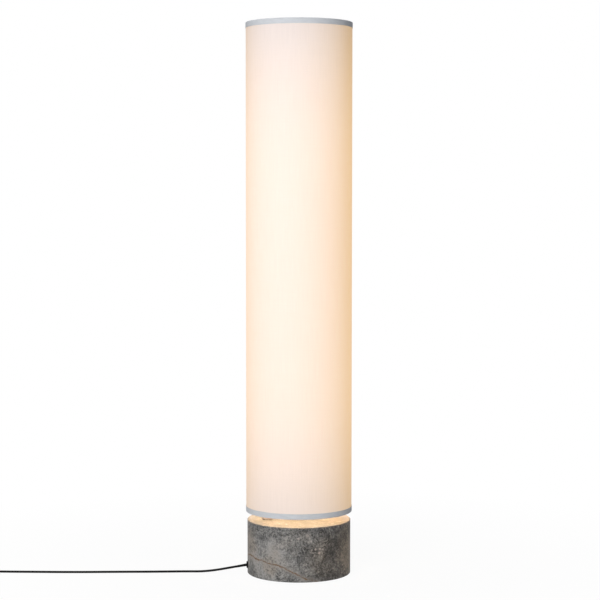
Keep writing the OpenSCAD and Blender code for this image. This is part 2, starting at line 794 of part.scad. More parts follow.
module core_cap() {
  color("silver") union() {
    translate([0, 0, core_top - plug_in_h]) cylinder(h = plug_in_h + past, d = core_w - 2 * core_t - 2 * slip);
    translate([0, 0, core_top]) cylinder(h = collar_h, d = collar_d);
    translate([0, 0, hub_z - past]) cylinder(h = stud_h + past - 1, d = stud_d);
    translate([0, 0, hub_z + stud_h - 1]) cylinder(h = 1, r1 = stud_d / 2, r2 = stud_d / 2 - 1);
  }
}

// Shade
module spoke_bars(ring_z, inner_r, inner_z, d) {
  for (i = [0 : spokes - 1]) rotate([0, 0, 90 + 360 * i / spokes])
    bar([ring_r - weld_inset, 0, ring_z], [inner_r, 0, inner_z], d);
}
module top_spokes(d) {
  spoke_bars(shade_top - ring_inset, hub_d / 2 - 2.5, hub_z + hub_t + wire_d / 2 - 0.4, d);
}
module bottom_spokes(d) {
  z = shade_z + ring_inset;
  spoke_bars(z, (guide_d + guide_w) / 2, z + guide_rise, d);
}
module wire_ring(z) translate([0, 0, z]) rotate_extrude() translate([ring_r, 0]) circle(d = wire_d);
module top_frame() {
  color("white") difference() {
    union() {
      wire_ring(shade_top - ring_inset);
      top_spokes(wire_d);
      translate([0, 0, hub_z]) cylinder(h = hub_t, d = hub_d);
    }
    translate([0, 0, hub_z - past]) cylinder(h = hub_t + 2 * past, d = stud_d + 0.6);
  }
}
module bottom_frame() {
  z = shade_z + ring_inset;
  color("white") difference() {
    union() {
      wire_ring(z);
      bottom_spokes(wire_d);
      translate([0, 0, z + guide_rise - wire_d / 2]) cylinder(h = wire_d, d = guide_d + 2 * guide_w);
    }
    translate([0, 0, z + guide_rise - wire_d]) cylinder(h = 2 * wire_d, d = guide_d);
  }
}
module shade_skin(outer_r, t) {
  translate([0, 0, shade_z + trim_t]) difference() {
    cylinder(h = shade_h - 2 * trim_t, r = outer_r);
    translate([0, 0, -past]) cylinder(h = shade_h + 2 * past, r = outer_r - t);
  }
}
module shade_liner() {
  color("white") shade_skin(liner_r, liner_t);
}
module shade_fabric() {
  color("linen") shade_skin(fabric_r, fabric_t);
}
// The tape runs down the outside, over the rim and back round the wire to the liner.
module trim_tape() {
  rotate_extrude() polygon([
    [fabric_r, -trim_w], [fabric_r, -trim_t], [flap_r, -trim_t], [flap_r, -flap_bend],
    [liner_in_r, -trim_w], [liner_in_r - trim_t, -trim_w], [flap_r - trim_t, -flap_bend],
    [flap_r - trim_t, 0], [trim_r, 0], [trim_r, -trim_w]
  ]);
}
module top_trim() {
  color("lightsteelblue") difference() {
    translate([0, 0, shade_top]) trim_tape();
    top_spokes(wire_d + 0.6);
  }
}
module bottom_trim() {
  color("lightsteelblue") difference() {
    translate([0, 0, shade_z]) mirror([0, 0, 1]) trim_tape();
    bottom_spokes(wire_d + 0.6);
  }
}
module nut_washer() {
  color("white") translate([0, 0, nut_washer_z]) difference() {
    cylinder(h = nut_washer_t, d = nut_washer_d);
    translate([0, 0, -past]) cylinder(h = nut_washer_t + 2 * past, d = stud_bore);
  }
}
module shade_nut() {
  color("silver") translate([0, 0, nut_z]) difference() {
    cylinder(h = nut_h, d = nut_d);
    translate([0, 0, -past]) cylinder(h = nut_h + 2 * past, d = stud_bore);
    for (i = [0 : knurls - 1]) rotate([0, 0, 360 * i / knurls])
      translate([nut_d / 2 + 0.4, 0, 1]) cylinder(h = nut_h - 2, d = 1.4, $fn = 16);
  }
}

// Mains cord
module cord_gland() {
  color("black") union() {
    on_service_line() {
      translate([barrel_end, 0, exit_z]) rotate([0, 90, 0])
        cylinder(h = base_d / 2 - barrel_end + gland_t / 2, d = barrel_d);
      translate([base_d / 2, 0, exit_z]) rotate([0, 90, 0]) rotate_extrude() polygon([
        [0, 0], [gland_d / 2, 0], [gland_d / 2, gland_t * 0.4], [gland_d / 2 - gland_t * 0.4, gland_t * 0.85],
        [gland_d / 2 - gland_t, gland_t], [0, gland_t]
      ]);
      translate([base_d / 2, 0, exit_z]) rotate([0, 90 + relief_droop, 0])
        cylinder(h = gland_t + relief_l, d1 = relief_d, d2 = relief_tip_d);
    }
  }
}
module mains_cord() {
  color("black") swept_tube(smooth(cord_route, 2), cord_d, 8);
}
module cord_coil() {
  color("black") swept_tube(coil_route, cord_d, 6);
}
module cord_tie() {
  band = 0.8;
  room = cord_d / 2 + 0.5;
  near = coil_in_r - room - 0.8;
  far = coil_out_r - coil_pitch / 2 + room;
  top = coil_z + coil_pitch + room;
  width = 8;
  color("dimgray") translate([coil_x - width / 2, coil_y, 0]) difference() {
    translate([0, near - band, 0]) cube([width, far - near + 2 * band, top + band]);
    translate([-past, near, band]) cube([width + 2 * past, far - near, top - band]);
  }
}
module plug_body() {
  a = plug_w / 2;
  shoulder = plug_l * 0.4;
  color("black") translate([plug_x, plug_y, plug_z]) difference() {
    union() {
      rotate([-90, 0, 0]) cylinder(h = plug_sleeve_l, d1 = cord_d + 2, d2 = cord_d + 5);
      translate([0, plug_sleeve_l, -plug_t / 2]) linear_extrude(height = plug_t)
        polygon([[-7, 0], [7, 0], [a, shoulder], [a, plug_l], [-a, plug_l], [-a, shoulder]]);
    }
    plug_pin_places() translate([0, 0, -pin_root_l]) cylinder(h = plug_l, d = pin_root_d + 2 * run);
  }
}
// The plug's face, with +Z along each pin.
module plug_pin_places() {
  for (s = [-1, 1]) translate([s * pin_pitch / 2, plug_sleeve_l + plug_l, 0]) rotate([-90, 0, 0]) children();
}
module plug_pins() {
  color("silver") translate([plug_x, plug_y, plug_z]) plug_pin_places() union() {
    translate([0, 0, -pin_root_l]) cylinder(h = pin_root_l + past, d = pin_root_d);
    cylinder(h = pin_l - 1, d = pin_d);
    translate([0, 0, pin_l - 1]) cylinder(h = 1, r1 = pin_d / 2, r2 = pin_d / 2 - 1);
  }
}

marble_base();
bottom_plate();
foot_ring();
plate_screws();
plate_inserts();
stem_socket();
threaded_rod();
rod_washer();
rod_nut();
socket_screws();
led_driver();
driver_screws();
terminal_block();
cord_clamp();
clamp_screws();
cord_gland();
mains_tail();
dimmer_lead();
driver_lead();
led_lead();
dimmer_housing();
dimmer_cover();
dimmer_washer();
dimmer_nut();
switch_plunger();
plunger_spring();
dimmer_shaft();
dimmer_knob();
knob_screw();
led_core();
led_boards();
diffuser_tube();
diffuser_cap_lower();
diffuser_cap_upper();
core_cap();
top_frame();
bottom_frame();
shade_liner();
shade_fabric();
top_trim();
bottom_trim();
nut_washer();
shade_nut();
mains_cord();
cord_coil();
cord_tie();
plug_body();
plug_pins();
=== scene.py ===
"""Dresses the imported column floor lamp: camera, mains cord, fabric pieces, materials and studio.

Metres, +Z up, and -Y faces the camera. Patterns use object coordinates, so they stay on their pieces.
"""

import json
import math

import bmesh
import bpy
from mathutils import Matrix, Vector

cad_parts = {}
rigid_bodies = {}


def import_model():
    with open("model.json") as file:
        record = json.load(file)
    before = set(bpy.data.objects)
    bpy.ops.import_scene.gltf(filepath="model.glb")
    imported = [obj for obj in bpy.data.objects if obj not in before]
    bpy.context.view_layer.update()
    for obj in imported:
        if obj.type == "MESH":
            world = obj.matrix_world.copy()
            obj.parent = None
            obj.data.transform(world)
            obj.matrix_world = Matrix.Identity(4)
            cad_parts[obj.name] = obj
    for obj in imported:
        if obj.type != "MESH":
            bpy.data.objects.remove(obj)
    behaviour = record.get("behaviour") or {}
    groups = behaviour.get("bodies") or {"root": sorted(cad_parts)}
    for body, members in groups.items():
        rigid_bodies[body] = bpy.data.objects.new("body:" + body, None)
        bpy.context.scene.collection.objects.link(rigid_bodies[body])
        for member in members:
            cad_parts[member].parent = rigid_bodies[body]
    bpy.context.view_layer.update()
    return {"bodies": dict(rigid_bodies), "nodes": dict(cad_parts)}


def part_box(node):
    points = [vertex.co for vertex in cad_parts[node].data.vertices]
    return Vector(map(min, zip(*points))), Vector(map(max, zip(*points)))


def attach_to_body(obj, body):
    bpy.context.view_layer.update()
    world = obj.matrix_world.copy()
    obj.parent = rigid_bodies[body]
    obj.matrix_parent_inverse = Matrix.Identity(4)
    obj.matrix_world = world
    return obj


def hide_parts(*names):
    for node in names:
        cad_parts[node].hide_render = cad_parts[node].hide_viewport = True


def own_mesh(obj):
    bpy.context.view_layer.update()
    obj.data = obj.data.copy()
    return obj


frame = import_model()
MM = 0.001


def add_object(name, data):
    """A new object in the scene."""
    made = bpy.data.objects.new(name, data)
    bpy.context.scene.collection.objects.link(made)
    return made


# ---------------------------------------------------------------- camera
CAMERA_AT = (0.0, -3.761, 0.820)
CAMERA_LENS = 103.584
CAMERA_SENSOR = 36
CAMERA_PITCH = 3.351
CAMERA_YAW = 0.034
CAMERA_ROLL = 0.025
CAMERA_NEAR, CAMERA_FAR = 0.1, 40


def make_camera():
    """The camera of the photo, as fitted to the lamp's rims and sides. Its angles are in degrees."""
    data = bpy.data.cameras.new("view_camera")
    data.sensor_width = CAMERA_SENSOR
    data.lens = CAMERA_LENS
    data.clip_start, data.clip_end = CAMERA_NEAR, CAMERA_FAR
    camera = add_object("view_camera", data)
    turn = (
        Matrix.Rotation(math.radians(-CAMERA_YAW), 4, "Z")
        @ Matrix.Rotation(math.radians(90 - CAMERA_PITCH), 4, "X")
        @ Matrix.Rotation(math.radians(CAMERA_ROLL), 4, "Z")
    )
    camera.matrix_world = Matrix.Translation(CAMERA_AT) @ turn
    bpy.context.scene.camera = camera


# ---------------------------------------------------------------- sizes taken over from the solids
SERVICE_AZIMUTH = math.radians(186)
BASE_R = 0.113
BASE_TOP = 0.119
SHADE_Z = 0.137
SHADE_TOP = 1.200
TRIM_R = 0.116
TRIM_T = 0.0004
TRIM_W = 0.012
FABRIC_R = 0.1156
FABRIC_T = 0.0005
LINER_IN_R = 0.1145
RING_R = 0.1129
WIRE_R = 0.0015
CORD_D = 0.005
EXIT_Z = 0.0188
GLAND_R = 0.0075
GLAND_T = 0.0024
RELIEF_L = 0.020
RELIEF_DROOP = math.radians(8.5)

RADIAL = Vector((math.cos(SERVICE_AZIMUTH), math.sin(SERVICE_AZIMUTH), 0))
EXIT_DIR = (RADIAL * math.cos(RELIEF_DROOP) + Vector((0, 0, -math.sin(RELIEF_DROOP)))).normalized()
EXIT_ROOT = RADIAL * BASE_R + Vector((0, 0, EXIT_Z))
EXIT_POINT = EXIT_ROOT + EXIT_DIR * (GLAND_T + RELIEF_L)

COIL_X, COIL_Y = -0.722, 0.0294
COIL_OUT_R = 0.0404
COIL_PITCH = 0.0056
LOOPS_PER_LAYER = 3.375
COIL_LOOPS = 2 * LOOPS_PER_LAYER + 0.5
COIL_IN_R = COIL_OUT_R - COIL_PITCH * LOOPS_PER_LAYER
COIL_Z = 0.0035
COIL_LEAD_IN = 0.006
COIL_START = Vector((COIL_X + COIL_LEAD_IN, COIL_Y - COIL_OUT_R, COIL_Z))
PLUG_X = COIL_X - COIL_OUT_R
PLUG_SET_BACK = 0.022
PLUG_Y = COIL_Y + PLUG_SET_BACK
PLUG_Z = 0.00685
PLUG_SLEEVE = 0.016

# The free cord from its exit to the coil, the same route as in the solids.
CORD_ROUTE_MM = [
    (-152, -15, 12.6),
    (-165, -14.2, 10.1),
    (-178, -12.8, 7.7),
    (-191, -11.2, 5.6),
    (-204, -9.6, 4),
    (-218, -8.2, 2.9),
    (-232, -7.4, 2.65),
    (-258, -7.2, 2.55),
    (-284, -8.4, 2.55),
    (-310, -9.6, 2.55),
    (-336, -10.5, 2.55),
    (-364, -11, 2.55),
    (-392, -11.5, 2.55),
    (-422, -12.4, 2.55),
    (-452, -13.4, 2.55),
    (-482, -14, 2.55),
    (-512, -14, 2.55),
    (-542, -13.4, 2.55),
    (-572, -12.4, 2.55),
    (-602, -11.5, 2.55),
    (-632, -11, 2.65),
    (-660, -11, 3),
    (-688, -11, 3.5),
]


# ---------------------------------------------------------------- mesh helpers
WELD_DISTANCE = 1e-7
ON_AXIS = 1e-9


def new_mesh(name, build, body, replaced, smooth=True):
    """A mesh object made by build(bm), that rides on a body and stands for CAD nodes."""
    bm = bmesh.new()
    build(bm)
    bmesh.ops.remove_doubles(bm, verts=bm.verts, dist=WELD_DISTANCE)
    bmesh.ops.recalc_face_normals(bm, faces=bm.faces)
    mesh = bpy.data.meshes.new(name)
    bm.to_mesh(mesh)
    bm.free()
    for polygon in mesh.polygons:
        polygon.use_smooth = smooth
    return attach(add_object(name, mesh), body, replaced)


def attach(piece, body, replaced):
    """Puts a piece on its body and hides the CAD nodes that it stands for."""
    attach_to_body(piece, body)
    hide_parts(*replaced)
    return piece


def axes_of(direction):
    """A matrix whose +Z is the direction."""
    return Vector(direction).to_track_quat("Z", "Y").to_matrix().to_4x4()


def lathe(bm, profile, place, steps, closed=False):
    """Turns (radius, height) points about +Z of a place. A closed profile is a ring's section."""
    rows = []
    for radius, height in profile:
        if radius < ON_AXIS:
            rows.append([bm.verts.new(place @ Vector((0, 0, height)))])
            continue
        rows.append([])
        for k in range(steps):
            angle = 2 * math.pi * k / steps
            point = Vector((radius * math.cos(angle), radius * math.sin(angle), height))
            rows[-1].append(bm.verts.new(place @ point))
    pairs = list(zip(rows, rows[1:]))
    if closed:
        pairs.append((rows[-1], rows[0]))
    for low, high in pairs:
        for k in range(steps):
            a, b = k, (k + 1) % steps
            corners = [low[a % len(low)], low[b % len(low)], high[b % len(high)], high[a % len(high)]]
            unique = list(dict.fromkeys(corners))
            if len(unique) > 2:
                bm.faces.new(unique)


def skin(bm, rings, closed=False):
    """Faces between rings of points. Closed joins the last to the first, or else both ends are capped."""
    following = rings[1:] + rings[:1] if closed else rings[1:]
    for ring, other in zip(rings, following):
        for k in range(len(ring)):
            n = (k + 1) % len(ring)
            bm.faces.new((ring[k], ring[n], other[n], other[k]))
    if not closed:
        bm.faces.new(rings[0])
        bm.faces.new(rings[-1])


def arc(cx, cy, radius, start, end, steps):
    """Points of an arc in a profile, angles in degrees."""
    points = []
    for k in range(steps + 1):
        angle = math.radians(start + (end - start) * k / steps)
        points.append((cx + radius * math.cos(angle), cy + radius * math.sin(angle)))
    return points


def rounded_box(x_low, x_high, y_low, y_high, radius, steps):
    """The outline of a rectangle with round corners."""
    corners = (
        (x_high - radius, y_low + radius, -90), (x_high - radius, y_high - radius, 0),
        (x_low + radius, y_high - radius, 90), (x_low + radius, y_low + radius, 180),
    )
    return [point for x, y, start in corners for point in arc(x, y, radius, start, start + 90, steps)]


# ---------------------------------------------------------------- mains cord
EXIT_STEPS = (0.0, 0.003, 0.006)
ROUTE_STEPS = 4
LOOP_STEPS = 48
TAIL_STEPS = 3
TAIL_STRAIGHT = 0.005
CORD_ROUNDNESS = 4


def bend(a, b, c, d, u):
    """A point of a Catmull-Rom curve between b and c."""
    return 0.5 * (
        2 * b + (c - a) * u + (2 * a - 5 * b + 4 * c - d) * u ** 2 + (3 * b - a - 3 * c + d) * u ** 3
    )


def smooth_path(points, steps):
    """A smooth line through the points, with so many steps between two of them."""
    last = len(points) - 1
    path = [
        bend(points[max(i - 1, 0)], points[i], points[i + 1], points[min(i + 2, last)], k / steps)
        for i in range(last)
        for k in range(steps)
    ]
    return path + [points[last]]


def coil_point(t):
    """The coil's centreline after t loops: inward on the floor, half a loop up, then outward on top."""
    s = t - LOOPS_PER_LAYER
    if s <= 0:
        radius = COIL_OUT_R - COIL_PITCH * t
    elif s < 0.5:
        radius = COIL_IN_R - COIL_PITCH * s * (1 - 2 * s)
    else:
        radius = COIL_IN_R + COIL_PITCH * (s - 0.5)
    height = COIL_Z + COIL_PITCH * min(max(2 * s, 0), 1)
    angle = math.radians(-90 - 360 * t)
    return Vector((COIL_X + radius * math.cos(angle), COIL_Y + radius * math.sin(angle), height))


def cord_path():
    """The cord's centreline, from the strain relief through the coil to the plug."""
    route = [EXIT_POINT + step * EXIT_DIR for step in EXIT_STEPS]
    route += [Vector(point) * MM for point in CORD_ROUTE_MM]
    route += [COIL_START + Vector((2 * COIL_LEAD_IN, 0, 0)), COIL_START]
    path = smooth_path(route, ROUTE_STEPS)
    path += [coil_point(i / LOOP_STEPS) for i in range(round(LOOP_STEPS * COIL_LOOPS) + 1)]
    end = path[-1]
    tail = [
        end,
        end + Vector((0, TAIL_STRAIGHT, 0)),
        Vector((PLUG_X, COIL_Y + PLUG_SET_BACK / 2, (end.z + PLUG_Z) / 2)),
        Vector((PLUG_X, PLUG_Y - TAIL_STRAIGHT, PLUG_Z)),
        Vector((PLUG_X, PLUG_Y, PLUG_Z)),
    ]
    return path + smooth_path(tail, TAIL_STEPS)[1:]


def make_cord():
    """The mains cord as one curve, with the coil in it, and the points that it runs through."""
    path = cord_path()
    data = bpy.data.curves.new("mains_lead", "CURVE")
    data.dimensions = "3D"
    data.bevel_depth = 1.0
    data.bevel_resolution = CORD_ROUNDNESS
    data.use_fill_caps = True
    spline = data.splines.new("POLY")
    spline.points.add(len(path) - 1)
    for point, place in zip(spline.points, path):
        point.co = (*place, 1)
        point.radius = CORD_D / 2
    spline.use_smooth = True
    cord = attach(add_object("mains_lead", data), "base", ("mains_cord", "cord_coil"))
    return cord, path


GLAND_EDGE = 0.0012
RELIEF_ROOT_R, RELIEF_TIP_R, RELIEF_END_R = 0.0031, 0.0026, 0.0024
RELIEF_RIBS = 6
RELIEF_GROOVE = 0.00025
RELIEF_PLAIN_SHARE = 0.12
RELIEF_SINK = 0.0005
RELIEF_CUT = 0.0006
SKIN_ON_CORD = 0.0001
RIB_STEPS = 8


def rib_groove(share, ribs, depth):
    """How deep a ribbed sleeve is cut at a share of its length."""
    return depth * (0.5 - 0.5 * math.cos(2 * math.pi * share * ribs))


def make_gland():
    """The bush that holds the cord in the marble, with a ribbed, tapered strain relief."""
    radial = Matrix.Translation(EXIT_ROOT) @ axes_of(RADIAL)
    relief = Matrix.Translation(EXIT_ROOT) @ axes_of(EXIT_DIR)
    rim = arc(GLAND_R - GLAND_EDGE, GLAND_T - GLAND_EDGE, GLAND_EDGE, 0, 90, 6)
    dome = [(0.0, 0.0), (GLAND_R, 0.0)] + rim + [(0.0, GLAND_T)]
    length = GLAND_T + RELIEF_L
    taper = [(0.0, RELIEF_SINK)]
    for k in range(RELIEF_RIBS * RIB_STEPS + 1):
        share = k / (RELIEF_RIBS * RIB_STEPS)
        groove = rib_groove(share, RELIEF_RIBS, RELIEF_GROOVE) if share > RELIEF_PLAIN_SHARE else 0
        radius = RELIEF_ROOT_R + (RELIEF_TIP_R - RELIEF_ROOT_R) * share - groove
        taper.append((max(radius, CORD_D / 2 + SKIN_ON_CORD), RELIEF_SINK + (length - RELIEF_CUT) * share))
    taper += [(RELIEF_END_R, length), (0.0, length)]

    def build(bm):
        lathe(bm, dome, radial, 48)
        lathe(bm, taper, relief, 32)

    return new_mesh("cord_bush", build, "base", ("cord_gland",))


TIE_SLACK = 0.0005
TIE_T = 0.0008
TIE_HALF_W = 0.004
TIE_OUT_R, TIE_IN_R = 0.0028, 0.0022


def make_tie():
    """A hook-and-loop strap round the coil's back, drawn round its turns."""
    room = CORD_D / 2 + TIE_SLACK
    near = COIL_Y + COIL_IN_R - room - TIE_T
    far = COIL_Y + COIL_OUT_R - COIL_PITCH / 2 + room
    top = COIL_Z + COIL_PITCH + room

    def build(bm):
        outer = rounded_box(near - TIE_T, far + TIE_T, 0.0, top + TIE_T, TIE_OUT_R, 8)
        inner = rounded_box(near, far, TIE_T, top, TIE_IN_R, 8)
        edges = ((-TIE_HALF_W, outer), (TIE_HALF_W, outer), (TIE_HALF_W, inner), (-TIE_HALF_W, inner))
        rings = [[bm.verts.new((COIL_X + x, y, z)) for y, z in outline] for x, outline in edges]
        skin(bm, rings, closed=True)

    return new_mesh("hook_loop_tie", build, "base", ("cord_tie",), smooth=False)


# The plug's sections as (distance past the sleeve, half width, half thickness).
PLUG_SECTIONS = [
    (0.0, 0.0070, 0.0048), (0.003, 0.0080, 0.0056), (0.007, 0.0105, 0.0062), (0.0115, 0.0150, 0.0067),
    (0.0145, 0.0171, 0.00685), (0.020, 0.0175, 0.00685), (0.034, 0.0175, 0.00685),
    (0.0354, 0.0170, 0.0064), (0.036, 0.0163, 0.0057),
]
PLUG_CORNER_SHARE = 0.75
PLUG_RIBS = 5
PLUG_GROOVE = 0.0004
SLEEVE_R, SLEEVE_FLARE = 0.0034, 0.0014
SLEEVE_START, SLEEVE_SINK = 0.0002, 0.001


def make_plug():
    """A flat two-pole plug with a ribbed sleeve and rounded edges."""
    start = Vector((PLUG_X, PLUG_Y, PLUG_Z))
    sleeve = [(0.0, 0.0)]
    for k in range(PLUG_RIBS * RIB_STEPS + 1):
        share = k / (PLUG_RIBS * RIB_STEPS)
        radius = SLEEVE_R + SLEEVE_FLARE * share - rib_groove(share, PLUG_RIBS, PLUG_GROOVE)
        sleeve.append((radius, SLEEVE_START + (PLUG_SLEEVE + SLEEVE_SINK) * share))
    sleeve.append((0.0, PLUG_SLEEVE + SLEEVE_SINK + SLEEVE_START))

    def build(bm):
        rings = []
        for along, half_w, half_t in PLUG_SECTIONS:
            corner = min(half_w, half_t) * PLUG_CORNER_SHARE
            outline = rounded_box(-half_w, half_w, -half_t, half_t, corner, 6)
            rings.append([bm.verts.new(start + Vector((x, PLUG_SLEEVE + along, z))) for x, z in outline])
        skin(bm, rings)
        lathe(bm, sleeve, Matrix.Translation(start) @ axes_of((0, 1, 0)), 32)

    return new_mesh("plug_shell", build, "base", ("plug_body",))


# ---------------------------------------------------------------- fabric pieces
FABRIC_AROUND, FABRIC_UP = 256, 96
FABRIC_SET_IN = 0.0002
LAP = 0.0055
LAP_RISE = 0.0003


def fabric_radius(k):
    """The cloth's outer radius at one of its columns of points, more where it laps over itself."""
    from_back = abs(((k / FABRIC_AROUND + 0.5) % 1.0) - 0.5) * 2 * math.pi * FABRIC_R
    return FABRIC_R - FABRIC_SET_IN + (LAP_RISE if from_back < LAP else 0)


def make_fabric():
    """The shade's cloth: one width laid round the liner, lapped over itself at the back."""
    low, high = SHADE_Z + TRIM_T, SHADE_TOP - TRIM_T

    def build(bm):
        rows = {}
        for outside in (0, 1):
            for j in range(FABRIC_UP + 1):
                z = low + (high - low) * j / FABRIC_UP
                row = []
                for k in range(FABRIC_AROUND):
                    angle = math.pi / 2 + 2 * math.pi * k / FABRIC_AROUND
                    radius = fabric_radius(k) if outside else FABRIC_R - FABRIC_T
                    row.append(bm.verts.new((radius * math.cos(angle), radius * math.sin(angle), z)))
                rows[outside, j] = row
        for k in range(FABRIC_AROUND):
            n = (k + 1) % FABRIC_AROUND
            for j in range(FABRIC_UP):
                for outside in (0, 1):
                    a, b = rows[outside, j], rows[outside, j + 1]
                    bm.faces.new((a[k], a[n], b[n], b[k]))
            for j in (0, FABRIC_UP):
                bm.faces.new((rows[0, j][k], rows[0, j][n], rows[1, j][n], rows[1, j][k]))

    return new_mesh("shade_cloth", build, "shade", ("shade_fabric",))


TRIM_STEPS = 192
TRIM_WAVE = 0.00006
TRIM_WAVES = ((5, 0.7), (13, 0.0))
FOLD_R = 0.0010
FOLD_GAP = 0.0001
EDGE_STEP = 0.00005
OVER_WIRE = 0.0005
OUTSIDE_Z = 0.0012
TUCK_Z, TUCK_IN_Z = 0.0038, 0.0036


def trim_section(wave):
    """The folded ribbon's outline as (radius, height from the rim), with its edges moved by the wave."""
    w = TRIM_W + wave
    wire_z = TRIM_T + WIRE_R + FOLD_GAP
    wire_r = WIRE_R + OVER_WIRE
    outer = [(TRIM_R - 0.00025, w), (TRIM_R - EDGE_STEP, w - 0.00015)]
    outer += [(TRIM_R, w - 0.0005), (TRIM_R, OUTSIDE_Z)]
    outer += arc(TRIM_R - FOLD_R, FOLD_R, FOLD_R, 0, -90, 5)
    outer += arc(RING_R, wire_z, wire_r, -90, -180, 6)
    outer += [(RING_R - wire_r, TUCK_Z), (LINER_IN_R - 0.0005, w - 0.001), (LINER_IN_R - FOLD_GAP, w)]
    inner = [(LINER_IN_R - EDGE_STEP, w - 0.0012), (RING_R - wire_r + TRIM_T, TUCK_IN_Z)]
    inner += arc(RING_R, wire_z, wire_r - TRIM_T, -180, -90, 6)
    inner += [(FABRIC_R - FOLD_GAP, TRIM_T), (FABRIC_R + 0.00002, w - 0.0008)]
    return outer + inner


def make_trim(name, node, edge_z, inward):
    """A ribbon folded over the rim: down the outside, round the wire and back to the liner."""

    def build(bm):
        rings = []
        for k in range(TRIM_STEPS):
            angle = 2 * math.pi * k / TRIM_STEPS
            wave = TRIM_WAVE * sum(math.sin(count * angle + phase) for count, phase in TRIM_WAVES)
            rings.append([])
            for radius, height in trim_section(wave):
                point = (radius * math.cos(angle), radius * math.sin(angle), edge_z + inward * height)
                rings[-1].append(bm.verts.new(point))
        skin(bm, rings, closed=True)

    return new_mesh(name, build, "shade", (node,))


FOOT_OUT_R, FOOT_IN_R = 0.1015, 0.091
FOOT_T = 0.003
FOOT_SOFT = 0.0005


def make_foot():
    """The felt ring that the drum stands on, with softened edges."""
    section = rounded_box(FOOT_IN_R, FOOT_OUT_R, 0.0, FOOT_T, FOOT_SOFT, 3)

    def build(bm):
        lathe(bm, section, Matrix.Identity(4), 160, closed=True)

    return new_mesh("felt_foot", build, "base", ("foot_ring",))


# ---------------------------------------------------------------- plunger spring
SPRING_WIRE_D = 0.0009
SPRING_TURNS = 5
SPRING_STEPS = 36
WIRE_SIDES = 10


def make_spring():
    """The switch plunger's spring, which is pressed shorter as the dimmer is pushed."""
    low, high = (Vector(corner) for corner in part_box("plunger_spring"))
    middle = (low + high) / 2
    wire_r = SPRING_WIRE_D / 2
    radius = (high.x - low.x) / 2 - wire_r
    rise = high.z - low.z - SPRING_WIRE_D
    up = Vector((0, 0, 1))

    def build(bm):
        rings = []
        for i in range(SPRING_TURNS * SPRING_STEPS + 1):
            turned = 2 * math.pi * i / SPRING_STEPS
            out = Vector((math.cos(turned), math.sin(turned), 0))
            height = low.z + wire_r + rise * i / (SPRING_TURNS * SPRING_STEPS)
            centre = Vector((middle.x, middle.y, height)) + radius * out
            rings.append([])
            for k in range(WIRE_SIDES):
                angle = 2 * math.pi * k / WIRE_SIDES
                side = math.cos(angle) * out + math.sin(angle) * up
                rings[-1].append(bm.verts.new(centre + wire_r * side))
        skin(bm, rings)

    spring = new_mesh("pressed_spring", build, "base", ("plunger_spring",))
    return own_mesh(spring)


# ---------------------------------------------------------------- material graphs
NOISE_LOW, NOISE_HIGH = 0.3, 0.7


